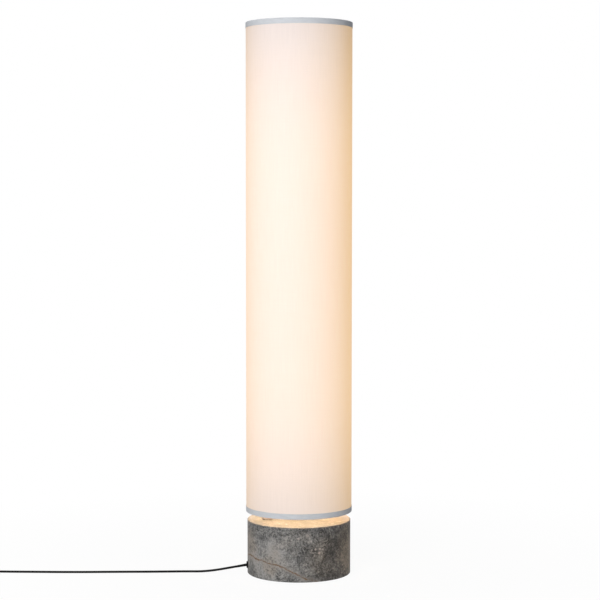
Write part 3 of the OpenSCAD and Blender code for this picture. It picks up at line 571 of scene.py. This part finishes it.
class Graph:
    """One material with a Principled shader, and short calls for the nodes in front of it."""

    def __init__(self, name, **values):
        self.material = bpy.data.materials.new(name)
        self.material.use_nodes = True
        self.tree = self.material.node_tree
        self.tree.nodes.clear()
        self.shader = self.tree.nodes.new("ShaderNodeBsdfPrincipled")
        output = self.tree.nodes.new("ShaderNodeOutputMaterial")
        self.tree.links.new(self.shader.outputs[0], output.inputs["Surface"])
        for key, value in values.items():
            self.put(self.shader.inputs[key.replace("_", " ")], value)
        self.place = None

    def put(self, socket, value):
        if isinstance(value, bpy.types.NodeSocket):
            self.tree.links.new(value, socket)
        elif hasattr(value, "__len__") and len(value) == 3 and len(socket.default_value) == 4:
            socket.default_value = (*value, 1)
        else:
            socket.default_value = value

    def set(self, key, value):
        self.put(self.shader.inputs[key], value)

    def coords(self):
        """Object coordinates, in metres."""
        if self.place is None:
            self.place = self.tree.nodes.new("ShaderNodeTexCoord").outputs["Object"]
        return self.place

    def math(self, operation, a, b=0.0):
        node = self.tree.nodes.new("ShaderNodeMath")
        node.operation = operation
        self.put(node.inputs[0], a)
        self.put(node.inputs[1], b)
        return node.outputs[0]

    def plus(self, a, b):
        return self.math("ADD", a, b)

    def minus(self, a, b):
        return self.math("SUBTRACT", a, b)

    def times(self, a, b):
        return self.math("MULTIPLY", a, b)

    def vector(self, operation, a, b=(0, 0, 0)):
        node = self.tree.nodes.new("ShaderNodeVectorMath")
        node.operation = operation
        self.put(node.inputs[0], a)
        self.put(node.inputs[1], b)
        return node.outputs["Value"] if operation in ("DOT_PRODUCT", "LENGTH") else node.outputs["Vector"]

    def distance(self, vector, place):
        return self.vector("LENGTH", self.vector("SUBTRACT", vector, place))

    def split(self, vector):
        node = self.tree.nodes.new("ShaderNodeSeparateXYZ")
        self.put(node.inputs[0], vector)
        return node.outputs

    def join(self, x, y, z):
        node = self.tree.nodes.new("ShaderNodeCombineXYZ")
        for socket, value in zip(node.inputs, (x, y, z)):
            self.put(socket, value)
        return node.outputs[0]

    def noise(self, vector, scale, detail, rough, distortion=0.0):
        node = self.tree.nodes.new("ShaderNodeTexNoise")
        for key, value in (("Vector", vector), ("Scale", scale), ("Detail", detail),
                           ("Roughness", rough), ("Distortion", distortion)):
            self.put(node.inputs[key], value)
        return node.outputs["Fac"]

    def drift(self, vector, scale, reach):
        """The vector, moved about by up to half the reach each way."""
        node = self.tree.nodes.new("ShaderNodeTexNoise")
        self.put(node.inputs["Vector"], vector)
        self.put(node.inputs["Scale"], scale)
        shift = self.vector("SUBTRACT", node.outputs["Color"], (0.5, 0.5, 0.5))
        return self.vector("ADD", vector, self.vector("MULTIPLY", shift, (reach,) * 3))

    def cells(self, vector, scale):
        """How far the nearest cell's middle is, from 0 up."""
        node = self.tree.nodes.new("ShaderNodeTexVoronoi")
        self.put(node.inputs["Vector"], vector)
        self.put(node.inputs["Scale"], scale)
        return node.outputs["Distance"]

    def ramp(self, value, *stops):
        """Maps a number to colours or numbers at (position, value) stops."""
        node = self.tree.nodes.new("ShaderNodeValToRGB")
        elements = node.color_ramp.elements
        while len(elements) < len(stops):
            elements.new(1.0)
        for element, (position, colour) in zip(elements, stops):
            element.position = position
            if not hasattr(colour, "__len__"):
                colour = (colour, colour, colour)
            element.color = (*colour, 1)
        self.put(node.inputs[0], value)
        return node.outputs[0]

    def between(self, noise, low, high):
        """From one colour or number to another, over the span that most of a noise lies in."""
        return self.ramp(noise, (NOISE_LOW, low), (NOISE_HIGH, high))

    def band(self, value, start, end, interpolation="SMOOTHSTEP"):
        """0 up to the start and 1 from the end, which may be the smaller of the two."""
        node = self.tree.nodes.new("ShaderNodeMapRange")
        node.interpolation_type = interpolation
        for key, number in (("Value", value), ("From Min", start), ("From Max", end)):
            self.put(node.inputs[key], number)
        return node.outputs[0]

    def fade(self, value, start, end):
        """0 at the start and 1 at the end, slow at first."""
        return self.math("POWER", self.band(value, start, end, "LINEAR"), 2.0)

    def mix(self, share, a, b, blend="MIX"):
        node = self.tree.nodes.new("ShaderNodeMix")
        node.data_type = "RGBA"
        node.blend_type = blend
        self.put(node.inputs[0], share)
        self.put(node.inputs[6], a)
        self.put(node.inputs[7], b)
        return node.outputs[2]

    def bump(self, height, distance, strength):
        node = self.tree.nodes.new("ShaderNodeBump")
        for key, value in (("Height", height), ("Distance", distance), ("Strength", strength)):
            self.put(node.inputs[key], value)
        self.set("Normal", node.outputs[0])


def round_the_axis(g, radius):
    """Arc length from the front, and height, in metres: the cloth's own two directions."""
    x, y, z = g.split(g.coords())[:3]
    return g.times(g.math("ARCTAN2", x, g.times(y, -1.0)), radius), z


def shades(colour, darker, lighter):
    """A colour times two factors."""
    return tuple(c * darker for c in colour), tuple(min(c * lighter, 1) for c in colour)


# ---------------------------------------------------------------- marble
# Each noise of the stone is (shift, scale, detail, roughness, distortion).
CLOUD_NOISE = ((0, 0, 0), 16, 5, 0.62, 0.6)
PATCH_NOISE = ((0.31, 0.12, 0.04), 46, 6, 0.70, 0.4)
GRAIN_NOISE = ((0.7, 0.2, 0.5), 240, 4, 0.74, 0.15)
BLOT_NOISE = ((0.2, 0.6, 0.3), 62, 4, 0.66, 0.5)
CURL_PLACES = ((0.5, 0.3, 0.8), 22, 3, 0.6, 0.0)
SHELL_BREAKS = ((0.1, 0.7, 0.9), 120, 2, 0.5, 0.0)
RUST_PLACES = ((0.9, 0.1, 0.3), 9, 3, 0.6, 0.0)
VEIN_WANDER = ((0, 0, 0), 34, 6, 0.66, 0.0)
FLECK_SHIFT, FLECK_SCALE = (0.05, 0.4, 0.2), 115
# The curls follow the middle value of this noise, which has no shift.
WINDING = (78, 2, 0.5, 0.5)

# How coordinates are moved about, as (scale, reach), for uneven edges.
CLOUD_DRIFT = (40, 0.016)
CURL_DRIFT = (44, 0.020)
SHELL_DRIFT = (70, 0.016)

# The values between which a mark comes in, from none to full.
BLOT_BAND = (0.455, 0.39)
CURL_PLACE_BAND = (0.44, 0.60)
RIB_BAND = (0.35, 0.95)
BREAK_BAND = (0.42, 0.56)
FLECK_BAND = (0.40, 0.20)
FLECK_CLOUD_BAND = (0.60, 0.68)
RUST_BAND = (0.46, 0.70)
VEIN_PATCH_BAND = (0.30, 0.56)

CLOUD_SHARE, PATCH_SHARE, GRAIN_SHARE = 0.26, 0.50, 0.84
TONE_SHIFT = 0.296
BLOT_DEPTH = 0.060
CLOUD_CORE_SHARE = 0.3
STONE_TONES = (
    (0.36, (0.056, 0.056, 0.056)), (0.46, (0.108, 0.107, 0.106)),
    (0.55, (0.178, 0.177, 0.175)), (0.68, (0.318, 0.312, 0.305)),
)

# Light and dark clouds as (place, reach, change of tone).
CLOUDS = [
    ((0.018, -0.1115, 0.069), 0.021, -0.110),
    ((0.075, -0.084, 0.074), 0.036, -0.060),
    ((0.080, -0.080, 0.035), 0.060, -0.030),
    ((0.050, -0.101, 0.100), 0.034, -0.035),
    ((-0.064, -0.092, 0.032), 0.078, 0.125),
    ((-0.050, -0.100, 0.070), 0.030, 0.065),
    ((0.104, -0.044, 0.055), 0.050, 0.085),
    ((-0.108, -0.035, 0.060), 0.065, 0.060),
    ((-0.028, -0.1095, 0.050), 0.035, 0.050),
    ((0.016, -0.1120, 0.020), 0.025, 0.050),
]

# Brown patches as (place, reach, strength); two of them lie along the drum's +X and -X sides.
BROWN_PATCHES = [
    ((0.112, -0.012, 0.060), 0.115, 1.0),
    ((0.066, -0.092, 0.050), 0.080, 0.45),
    ((-0.109, -0.030, 0.070), 0.056, 0.5),
    ((-0.062, -0.094, 0.034), 0.030, 0.4),
]
RUST_SHARE = 0.3
BROWN_TINT = (0.98, 0.81, 0.63)

# Painted light on the drum's top: a share of one even, paler tone, for the strong light from the shade.
TOP_EVEN_LIGHT_SHARE = 0.55
TOP_DEPTH = 0.002
TOP_EVEN_LIGHT_TONE = (0.183, 0.180, 0.176)

CURL_WIDTH, CURL_CORE = 0.034, 0.006
CURL_SHARE = 0.60
SHELL = (0.046, -0.103, 0.103)
SHELL_R = 0.029
SHELL_RIB_PITCH = 0.0058
SHELL_SHARE = 0.52
SHELL_PALE = (0.36, 0.345, 0.33)

FLECK_CLUSTER = (0.041, -0.105, 0.069)
FLECK_CLUSTER_R, FLECK_CLUSTER_CORE = 0.020, 0.008
FLECK_SHARE = 0.75
FLECK_PALE = (0.50, 0.45, 0.43)

VEIN_NORMAL = (0.378, 0.217, 0.900)
VEIN_OFFSET = -0.0086
VEIN_HALF_WIDTH = 0.0021
VEIN_REACH = 0.018
VEIN_END_X, VEIN_FULL_X = 0.085, 0.02
HALO_SHARE = 0.42
HALO_PALE = (0.30, 0.275, 0.255)
VEIN_BROWN = (0.190, 0.125, 0.080)
CRACK_BROWN = (0.110, 0.066, 0.040)


def layer(g, shift, scale, detail, rough, distortion):
    """One noise of the stone."""
    return g.noise(g.vector("ADD", g.coords(), shift), scale, detail, rough, distortion)


def nearness(g, place, reach):
    """0 past the reach from a place and 1 close to it, with an uneven edge."""
    return g.band(g.distance(g.drift(g.coords(), *CLOUD_DRIFT), place), reach, reach * CLOUD_CORE_SHARE)


def stone_tone(g, clouds, patches, grain):
    """How light the stone is, before its marks."""
    tone = g.plus(g.times(clouds, CLOUD_SHARE), g.times(patches, PATCH_SHARE))
    tone = g.minus(g.plus(tone, g.times(grain, GRAIN_SHARE)), TONE_SHIFT)
    blots = g.band(layer(g, *BLOT_NOISE), *BLOT_BAND)
    tone = g.minus(tone, g.times(blots, BLOT_DEPTH))
    for place, reach, amount in CLOUDS:
        tone = g.plus(tone, g.times(nearness(g, place, reach), amount))
    return tone


def add_curls(g, curls, colour):
    """Shelly curls: thin pale lines that wind through the stone, in some places only."""
    share = g.times(curls, g.band(layer(g, *CURL_PLACES), *CURL_PLACE_BAND))
    return g.mix(g.times(share, CURL_SHARE), colour, SHELL_PALE)


def add_shell(g, colour):
    """One fossil shell: broken ribs in rings about its middle."""
    out = g.distance(g.drift(g.coords(), *SHELL_DRIFT), SHELL)
    ribs = g.math("SINE", g.times(out, math.tau / SHELL_RIB_PITCH))
    share = g.times(g.band(ribs, *RIB_BAND), g.band(out, SHELL_R, SHELL_R * 0.8))
    share = g.times(share, g.band(layer(g, *SHELL_BREAKS), *BREAK_BAND))
    return g.mix(g.times(share, SHELL_SHARE), colour, SHELL_PALE)


def add_flecks(g, clouds, colour):
    """Pale flecks, a few and small, most of them in one cluster."""
    flecks = g.band(g.cells(g.vector("ADD", g.coords(), FLECK_SHIFT), FLECK_SCALE), *FLECK_BAND)
    cluster = g.band(g.distance(g.coords(), FLECK_CLUSTER), FLECK_CLUSTER_R, FLECK_CLUSTER_CORE)
    share = g.times(flecks, g.math("MAXIMUM", cluster, g.band(clouds, *FLECK_CLOUD_BAND)))
    return g.mix(g.times(share, FLECK_SHARE), colour, FLECK_PALE)


def add_brown_tint(g, colour):
    """Browner stone: iron stains in places from a noise, and the listed brown patches."""
    rust = g.times(g.band(layer(g, *RUST_PLACES), *RUST_BAND), RUST_SHARE)
    for place, reach, strength in BROWN_PATCHES:
        rust = g.math("MAXIMUM", rust, g.times(nearness(g, place, reach), strength))
    return g.mix(rust, colour, BROWN_TINT, "MULTIPLY")


def add_vein(g, patches, colour):
    """The rust vein, along a tilted plane through the block: a pale halo, a brown core and a dark crack."""
    wander = g.times(g.minus(layer(g, *VEIN_WANDER), 0.5), VEIN_REACH)
    offset = g.minus(g.vector("DOT_PRODUCT", g.coords(), VEIN_NORMAL), VEIN_OFFSET)
    distance = g.math("ABSOLUTE", g.plus(offset, wander))
    front = g.band(g.split(g.coords())[0], VEIN_END_X, VEIN_FULL_X)
    strength = g.times(front, g.band(patches, *VEIN_PATCH_BAND))
    halo = g.times(g.band(distance, VEIN_HALF_WIDTH * 4, VEIN_HALF_WIDTH), front)
    core = g.times(g.band(distance, VEIN_HALF_WIDTH, VEIN_HALF_WIDTH * 0.2), strength)
    crack = g.times(g.band(distance, VEIN_HALF_WIDTH * 0.35, 0.0), strength)
    colour = g.mix(g.times(halo, HALO_SHARE), colour, HALO_PALE)
    return g.mix(crack, g.mix(core, colour, VEIN_BROWN), CRACK_BROWN)


def marble():
    """Grey limestone-like marble with a rust-brown vein."""
    g = Graph("grey_marble", Specular_IOR_Level=0.10)
    clouds, patches, grain = (layer(g, *noise) for noise in (CLOUD_NOISE, PATCH_NOISE, GRAIN_NOISE))
    colour = g.ramp(stone_tone(g, clouds, patches, grain), *STONE_TONES)
    # Painted light: the drum's top is made calmer and a little paler, standing in for the strong even light
    # from the shade that washes its pattern out.
    on_top = g.band(g.split(g.coords())[2], BASE_TOP - TOP_DEPTH, BASE_TOP - TOP_DEPTH / 2)
    colour = g.mix(g.times(on_top, TOP_EVEN_LIGHT_SHARE), colour, TOP_EVEN_LIGHT_TONE)
    winding = g.noise(g.drift(g.coords(), *CURL_DRIFT), *WINDING)
    curls = g.band(g.math("ABSOLUTE", g.minus(winding, 0.5)), CURL_WIDTH, CURL_CORE)
    colour = add_shell(g, add_curls(g, curls, colour))
    colour = add_brown_tint(g, add_flecks(g, clouds, colour))
    g.set("Base Color", add_vein(g, patches, colour))
    g.set("Roughness", g.between(grain, 0.42, 0.58))
    g.bump(g.plus(grain, g.times(curls, 0.3)), 0.00015, 0.5)
    return g.material


# ---------------------------------------------------------------- the other materials
COLUMN_GLOW = 0.66
LINER_GLOW = 0.34
BOARD_GLOW = 3.0

# The light column ends short of both rims, so the cloth's glow fades from these heights to its rims.
LOW_FADE_FROM, LOW_FADE_SHARE = 0.45, 0.63
HIGH_FADE_FROM, HIGH_FADE_SHARE = 0.86, 0.68
THREADS_PER_METRE = 1100.0
SLUB_ALONG, SLUB_ACROSS = 14.0, 420.0
WARP_SHARE = 0.68
WEAVE_SHARE = 0.4
SLUB_TONES = (0.975, 1.025)
# Painted light: the cloth's base colour is darker and bluer than pale linen, standing in for the cool
# studio light on it; with the warm glow it adds up to the lit white.
COOL_LIT_LINEN = (0.34, 0.43, 0.595)
LINEN_GLOW = (0.745, 0.46, 0.165)
LINEN_END_GLOW = (0.385, 0.222, 0.04)


def slubs(g, s, z, s_scale, z_scale, shift):
    """Thick and thin places of the threads, drawn out along one direction."""
    return g.noise(g.join(g.times(s, s_scale), g.times(z, z_scale), shift), 1.0, 3, 0.6)


def cloth():
    """Slubbed linen-like weave that glows as if lit from behind."""
    g = Graph("lit_linen", Roughness=0.9, Specular_IOR_Level=0.05)
    s, z = round_the_axis(g, FABRIC_R)
    warp_slub = slubs(g, s, z, SLUB_ACROSS, SLUB_ALONG, 0.0)
    weft_slub = slubs(g, s, z, SLUB_ALONG, SLUB_ACROSS, 3.0)
    slub = g.plus(g.times(warp_slub, WARP_SHARE), g.times(weft_slub, 1 - WARP_SHARE))
    warp = g.math("SINE", g.times(s, THREADS_PER_METRE * math.tau))
    weft = g.math("SINE", g.times(z, THREADS_PER_METRE * math.tau))
    low_end = g.times(g.fade(z, LOW_FADE_FROM, SHADE_Z), LOW_FADE_SHARE)
    high_end = g.times(g.fade(z, HIGH_FADE_FROM, SHADE_TOP), HIGH_FADE_SHARE)
    glow = g.mix(g.math("MAXIMUM", low_end, high_end), LINEN_GLOW, LINEN_END_GLOW)
    grain = g.between(slub, *SLUB_TONES)
    # Painted light: the base colour carries a blue tint for the cool studio light on the cloth.
    g.set("Base Color", g.mix(1.0, COOL_LIT_LINEN, grain, "MULTIPLY"))
    g.set("Emission Color", g.mix(1.0, glow, grain, "MULTIPLY"))
    g.set("Emission Strength", 1.0)
    g.bump(g.plus(g.times(g.times(warp, weft), WEAVE_SHARE), slub), 0.0002, 0.35)
    return g.material


RIBS_PER_METRE = 900
RIB_SHARE = 0.3
RIBBON_ALONG, RIBBON_UP = 60.0, 220.0
RIBBON_DARK, RIBBON_LIGHT = (0.525, 0.548, 0.587), (0.590, 0.613, 0.652)


def ribbon():
    """Grosgrain ribbon: fine upright ribs, pale grey-blue."""
    g = Graph("ribbon", Roughness=0.85, Specular_IOR_Level=0.08)
    s, z = round_the_axis(g, TRIM_R)
    ribs = g.math("SINE", g.times(s, RIBS_PER_METRE * math.tau))
    uneven = slubs(g, s, z, RIBBON_ALONG, RIBBON_UP, 0.0)
    g.set("Base Color", g.between(uneven, RIBBON_DARK, RIBBON_LIGHT))
    g.bump(g.plus(g.times(ribs, RIB_SHARE), uneven), 0.0002, 0.4)
    return g.material


BRUSHING = (900.0, 900.0, 40.0)
FIBRES = (600, 90, 600)
LINE_SHARE = 0.6


def metal(name, colour, rough, grain=0.06):
    """Metal with fine upright brushing."""
    g = Graph(name, Metallic=1.0)
    lines = g.noise(g.vector("MULTIPLY", g.coords(), BRUSHING), 1.0, 3, 0.7)
    smudge = g.noise(g.coords(), 35, 3, 0.6)
    uneven = g.plus(g.times(lines, LINE_SHARE), g.times(smudge, 1 - LINE_SHARE))
    g.set("Base Color", g.between(lines, *shades(colour, 1 - grain, 1 + grain)))
    g.set("Roughness", g.between(uneven, rough * 0.8, rough * 1.25))
    g.bump(lines, 0.00004, 0.3)
    return g.material


def moulded(name, colour, rough, grain_scale=900, depth=0.00004, specular=0.5):
    """Moulded plastic, rubber or paint: a fine skin texture with faint uneven tone and gloss."""
    g = Graph(name, Specular_IOR_Level=specular)
    surface = g.noise(g.coords(), grain_scale, 2, 0.6)
    tone = g.noise(g.coords(), 24, 3, 0.6)
    g.set("Base Color", g.between(tone, *shades(colour, 0.90, 1.08)))
    g.set("Roughness", g.between(surface, rough * 0.88, min(rough * 1.12, 1)))
    g.bump(surface, depth, 0.5)
    return g.material


def felt():
    """Dark grey felt."""
    g = Graph("felt_pad", Roughness=1.0, Specular_IOR_Level=0.1, Sheen_Weight=0.4)
    fuzz = g.noise(g.coords(), 700, 5, 0.75)
    g.set("Base Color", g.between(fuzz, (0.035, 0.034, 0.033), (0.085, 0.083, 0.08)))
    g.bump(fuzz, 0.0004, 0.8)
    return g.material


def opal(name, colour, glow, strength):
    """Opal acrylic or film lit from within."""
    g = Graph(name, Roughness=0.35, Specular_IOR_Level=0.4, Emission_Color=glow, Emission_Strength=strength)
    haze = g.noise(g.coords(), 12, 2, 0.5)
    g.set("Base Color", g.between(haze, *shades(colour, 0.96, 1.0)))
    return g.material


def circuit_board():
    """Brown laminate with its fibres showing."""
    g = Graph("laminate_board", Roughness=0.5)
    fibres = g.noise(g.vector("MULTIPLY", g.coords(), FIBRES), 1.0, 3, 0.6)
    g.set("Base Color", g.between(fibres, (0.24, 0.14, 0.06), (0.36, 0.22, 0.10)))
    g.bump(fibres, 0.00003, 0.4)
    return g.material


def dress(material, *things):
    """Gives a finished material to pieces, and to CAD nodes by name."""
    for thing in things:
        if isinstance(thing, str):
            for place in frame["nodes"][thing].material_slots:
                place.material = material
        else:
            thing.data.materials.clear()
            thing.data.materials.append(material)


# ---------------------------------------------------------------- studio
WORLD_LEVEL = 0.15
WORLD_TINT = (0.93, 0.96, 1.0, 1)
WHITE = (1, 1, 1, 1)
FLOOR_HALF = 12
FLOOR_TONE = (0.86, 0.86, 0.86, 1)
# The share of plain white in the floor, near the lamp and from the far radius on.
FLOOR_WHITE = 0.94
FLOOR_NEAR, FLOOR_FAR = 0.25, 1.1

# The softboxes as (name, place, aimed at, size, watts, colour).
LAMPS = [
    ("key_softbox", (-1.15, -3.10, 1.9), (0, 0, 0.55), (1.6, 2.2), 100, (1.0, 0.99, 0.97)),
    ("fill_softbox", (2.4, -1.6, 1.4), (0, 0, 0.60), (1.4, 2.0), 1.0, (0.97, 0.98, 1.0)),
    ("top_softbox", (0.0, 0.4, 3.4), (0, 0, 0.60), (2.0, 2.0), 22, (1.0, 1.0, 1.0)),
    ("back_softbox", (0.2, 3.6, 1.5), (0, 0, 0.60), (0.8, 1.6), 22, (1.0, 1.0, 1.0)),
]
DOWNLIGHT_UP = 0.45
DOWNLIGHT_Z = SHADE_Z + DOWNLIGHT_UP
DOWNLIGHT_GAP = 0.005
DOWNLIGHT_D = 2 * (LINER_IN_R - DOWNLIGHT_GAP)
DOWNLIGHT_W = 7.3
DOWNLIGHT_COLOUR = (1.0, 0.70, 0.42)


def seen_share(tree):
    """1 for what the camera sees, straight or in glossy or clear surfaces."""
    path = tree.nodes.new("ShaderNodeLightPath")
    total = path.outputs["Is Camera Ray"]
    for key in ("Is Glossy Ray", "Is Transmission Ray"):
        larger = tree.nodes.new("ShaderNodeMath")
        larger.operation = "MAXIMUM"
        tree.links.new(total, larger.inputs[0])
        tree.links.new(path.outputs[key], larger.inputs[1])
        total = larger.outputs[0]
    return total


def plain_shader(tree, kind, colour, strength=None):
    node = tree.nodes.new(kind)
    node.inputs["Color"].default_value = colour
    if strength is not None:
        node.inputs["Strength"].default_value = strength
    return node.outputs[0]


def mixed_output(tree, kind, share, first, second):
    """Sends a mix of two shaders to the tree's output."""
    mix = tree.nodes.new("ShaderNodeMixShader")
    for socket, value in zip(mix.inputs, (share, first, second)):
        tree.links.new(value, socket)
    tree.links.new(mix.outputs[0], tree.nodes.new(kind).inputs[0])


def make_world():
    """Pale light all round, with plain white where the camera sees past the floor."""
    world = bpy.data.worlds.new("studio_world")
    bpy.context.scene.world = world
    world.use_nodes = True
    tree = world.node_tree
    tree.nodes.clear()
    ambient = plain_shader(tree, "ShaderNodeBackground", WORLD_TINT, WORLD_LEVEL)
    white = plain_shader(tree, "ShaderNodeBackground", WHITE)
    mixed_output(tree, "ShaderNodeOutputWorld", seen_share(tree), ambient, white)


def floor_material():
    """Pale floor: its own shading carries the shadow, and the rest of what is seen is plain white."""
    material = bpy.data.materials.new("pale_floor")
    material.use_nodes = True
    tree = material.node_tree
    tree.nodes.clear()
    shaded = plain_shader(tree, "ShaderNodeBsdfDiffuse", FLOOR_TONE)
    white = plain_shader(tree, "ShaderNodeEmission", WHITE, 1.0)
    place = tree.nodes.new("ShaderNodeTexCoord")
    reach = tree.nodes.new("ShaderNodeVectorMath")
    reach.operation = "LENGTH"
    tree.links.new(place.outputs["Object"], reach.inputs[0])
    spread = tree.nodes.new("ShaderNodeMapRange")
    limits = (("From Min", FLOOR_NEAR), ("From Max", FLOOR_FAR), ("To Min", FLOOR_WHITE), ("To Max", 1.0))
    for key, value in limits:
        spread.inputs[key].default_value = value
    tree.links.new(reach.outputs["Value"], spread.inputs["Value"])
    share = tree.nodes.new("ShaderNodeMath")
    share.operation = "MULTIPLY"
    tree.links.new(seen_share(tree), share.inputs[0])
    tree.links.new(spread.outputs[0], share.inputs[1])
    mixed_output(tree, "ShaderNodeOutputMaterial", share.outputs[0], shaded, white)
    return material


def make_floor():
    """The white floor, which isn't part of the lamp."""
    corners = ((-1, -1), (1, -1), (1, 1), (-1, 1))
    bm = bmesh.new()
    bm.faces.new([bm.verts.new((x * FLOOR_HALF, y * FLOOR_HALF, 0)) for x, y in corners])
    mesh = bpy.data.meshes.new("studio_floor")
    bm.to_mesh(mesh)
    bm.free()
    floor = add_object("studio_floor", mesh)
    floor.data.materials.append(floor_material())


def make_lamps():
    """The studio's softboxes."""
    for name, place, target, size, power, colour in LAMPS:
        data = bpy.data.lights.new(name, "AREA")
        data.shape = "RECTANGLE"
        data.size, data.size_y = size
        data.energy = power
        data.color = colour
        aim = (Vector(target) - Vector(place)).to_track_quat("-Z", "Y")
        add_object(name, data).matrix_world = Matrix.Translation(place) @ aim.to_matrix().to_4x4()


def make_downlight():
    """The light that the lit shade throws down on the drum, which goes where the shade goes."""
    data = bpy.data.lights.new("downlight", "AREA")
    data.shape = "DISK"
    data.size = DOWNLIGHT_D
    data.energy = DOWNLIGHT_W
    data.color = DOWNLIGHT_COLOUR
    downlight = add_object("downlight", data)
    downlight.parent = frame["bodies"]["shade"]
    downlight.matrix_world = Matrix.Translation((0, 0, DOWNLIGHT_Z))


# ---------------------------------------------------------------- assembly
def make_mains_lead():
    """The cord with what is on it."""
    cord, path = make_cord()
    gland = make_gland()
    tie = make_tie()
    plug = make_plug()
    rubber = moulded("black_cord_rubber", (0.003, 0.003, 0.003), 0.6, 1200, specular=0.12)
    dress(rubber, cord, gland, plug, "mains_tail")
    dress(moulded("strap_weave", (0.03, 0.03, 0.03), 0.9, 1600, 0.0002, 0.2), tie)


def make_shade_skin():
    """The cloth and the ribbons on its two rims."""
    fabric = make_fabric()
    trims = [
        make_trim("top_ribbon", "top_trim", SHADE_TOP, -1),
        make_trim("bottom_ribbon", "bottom_trim", SHADE_Z, 1),
    ]
    dress(cloth(), fabric)
    dress(ribbon(), *trims)


def dress_metals(spring):
    zinc = metal("zinc_plate", (0.58, 0.58, 0.59), 0.38, 0.04)
    dress(zinc, spring, "plate_screws", "threaded_rod", "rod_washer", "rod_nut", "core_cap")
    dress(zinc, "socket_screws", "driver_screws", "clamp_screws", "knob_screw")
    dress(zinc, "dimmer_washer", "dimmer_nut", "dimmer_shaft")
    # Painted light: the knob's and the nut's metal is tinted warm pink, standing in for the lamp's warm
    # light on them; the metal itself is a plain satin nickel.
    dress(metal("satin_nickel", (0.66, 0.53, 0.45), 0.5), "dimmer_knob", "shade_nut")
    dress(metal("extruded_aluminium", (0.74, 0.74, 0.75), 0.32), "led_core")
    dress(metal("plated_pins", (0.78, 0.77, 0.73), 0.16, 0.02), "plug_pins")
    dress(metal("turned_brass", (0.72, 0.53, 0.27), 0.3), "plate_inserts")


def dress_plastics():
    white_paint = moulded("white_powder_coat", (0.80, 0.79, 0.76), 0.5, 500, 0.00008)
    black_paint = moulded("black_powder_coat", (0.03, 0.03, 0.03), 0.55, 500, 0.00008)
    white_plastic = moulded("white_plastic", (0.78, 0.77, 0.74), 0.45)
    dress(white_paint, "stem_socket", "top_frame", "bottom_frame")
    dress(black_paint, "bottom_plate")
    dress(white_plastic, "led_driver", "switch_plunger", "nut_washer")
    dress(white_plastic, "diffuser_cap_lower", "diffuser_cap_upper")
    dress(moulded("ivory_plastic", (0.72, 0.68, 0.57), 0.5), "terminal_block", "cord_clamp")
    dress(moulded("grey_sheath", (0.22, 0.22, 0.22), 0.55, 1200), "dimmer_lead", "driver_lead", "led_lead")
    dress(moulded("black_plastic", (0.02, 0.02, 0.02), 0.3), "dimmer_housing")
    dress(circuit_board(), "dimmer_cover")


def dress_lit_parts():
    dress(opal("lit_board", (0.9, 0.86, 0.75), (1.0, 0.86, 0.66), BOARD_GLOW), "led_boards")
    dress(opal("lit_opal", (0.42, 0.40, 0.36), (1.0, 0.77, 0.50), COLUMN_GLOW), "diffuser_tube")
    dress(opal("lit_liner", (0.56, 0.55, 0.52), (1.0, 0.78, 0.58), LINER_GLOW), "shade_liner")


def main():
    bpy.context.scene.view_settings.view_transform = "Standard"
    make_camera()
    make_mains_lead()
    make_shade_skin()
    dress(felt(), make_foot())
    dress_metals(make_spring())
    dress_plastics()
    dress_lit_parts()
    dress(marble(), "marble_base")
    make_world()
    make_floor()
    make_lamps()
    make_downlight()


main()
